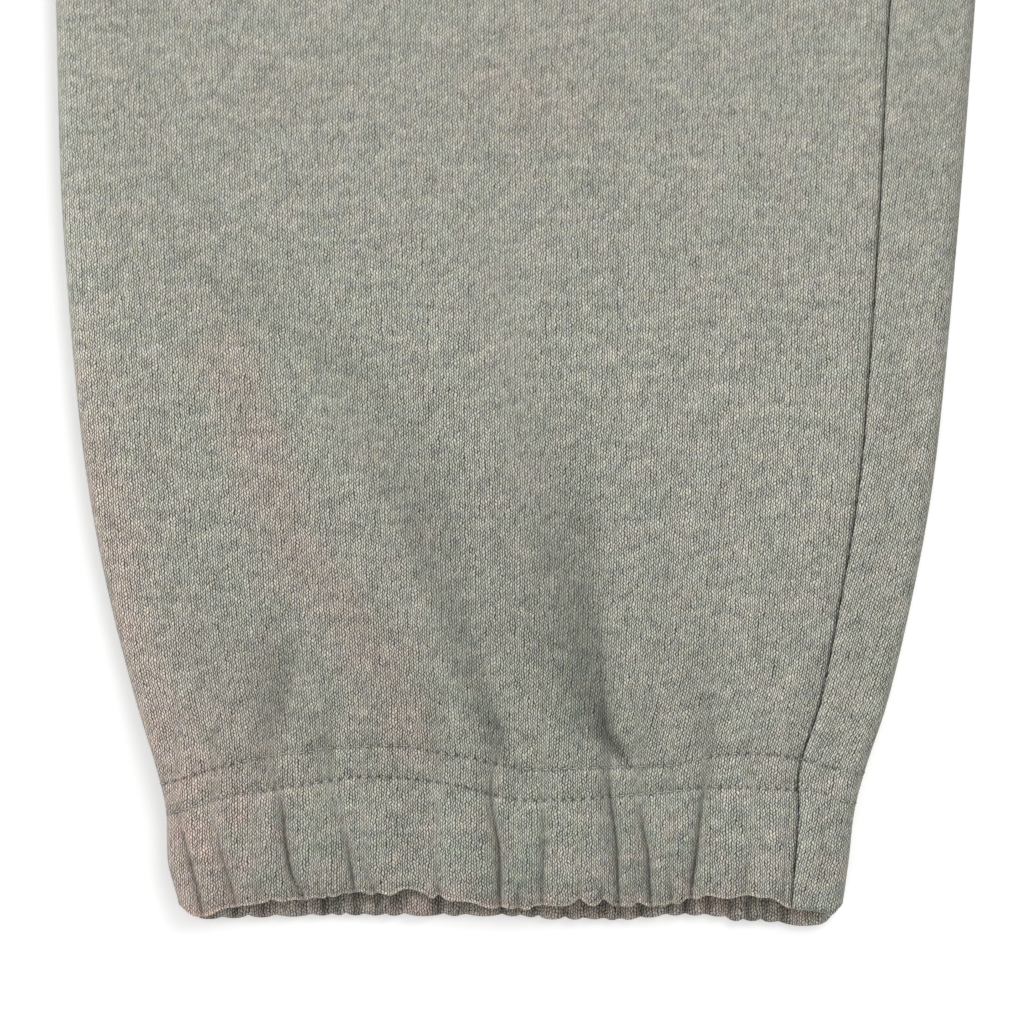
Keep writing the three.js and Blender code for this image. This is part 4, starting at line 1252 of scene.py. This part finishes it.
places, ahead = [], []
for height in waist_rows:
    around = columns_between([(-1, 0, 200), (0, 1, 16), (1, 2, 400), (2, 3, 16), (3, 4, 200)])
    v = np.full(around.shape, height)
    x, z, normal_z = waist_surface(around, v)
    line = np.stack([x * mm, garment_y(v), (z + np.where(normal_z < 0, sunk_below, above_cloth)) * mm], -1)
    row_places, row_ahead = row_of_stitches(line)
    places += row_places
    ahead += row_ahead
waist_stitches = thread_piece("waistband_stitches", places, ahead)
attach(waist_stitches, "root")

# Table and light
# A plain white table, a soft even light all round, one large soft light on the garment from the upper left,
# and one on the table from the upper right.
table_drop = 0.0003
table_grid = bmesh.new()
bmesh.ops.create_grid(table_grid, x_segments=1, y_segments=1, size=4)
bmesh.ops.translate(table_grid, verts=table_grid.verts, vec=(0, 0, -table_drop))
table_mesh = bpy.data.meshes.new("table")
table_grid.to_mesh(table_mesh)
table_grid.free()
table = bpy.data.objects.new("table", table_mesh)
bpy.context.scene.collection.objects.link(table)
white_paint = bpy.data.materials.new("white_paint")
white_paint.use_nodes = True
paint = white_paint.node_tree.nodes["Principled BSDF"]
paint.inputs["Base Color"].default_value = (0.93, 0.93, 0.93, 1)
paint.inputs["Roughness"].default_value = 1
paint.inputs["Specular IOR Level"].default_value = 0
paint.inputs["Emission Color"].default_value = (1, 1, 1, 1)
paint.inputs["Emission Strength"].default_value = 0.25
table_mesh.materials.append(white_paint)

world = bpy.data.worlds.new("soft_light")
world.use_nodes = True
world.node_tree.nodes["Background"].inputs["Color"].default_value = (1, 1, 1, 1)
world.node_tree.nodes["Background"].inputs["Strength"].default_value = 0.75
bpy.context.scene.world = world

on_table = bpy.data.collections.new("on_table")
on_garment = bpy.data.collections.new("on_garment")
for thing in bpy.context.scene.objects:
    if thing.type == "MESH":
        (on_table if thing == table else on_garment).objects.link(thing)
for name, lit, size, energy, place_from_view in (
    ("softbox", on_garment, 0.8, 16.5, (-0.5, 0.9, 0.95)),
    ("table_light", on_table, 0.9, 8.2, (0.75, 0.75, 1.1)),
):
    lamp = bpy.data.objects.new(name, bpy.data.lights.new(name, "AREA"))
    lamp.data.shape = "SQUARE"
    lamp.data.size = size
    lamp.data.energy = energy
    lamp.light_linking.receiver_collection = lit
    lamp.location = Vector((*view_centre, 0)) + Vector(place_from_view)
    lamp.rotation_euler = (-Vector(place_from_view)).to_track_quat("-Z", "Y").to_euler()
    bpy.context.scene.collection.objects.link(lamp)

bpy.context.scene.view_settings.view_transform = "Standard"
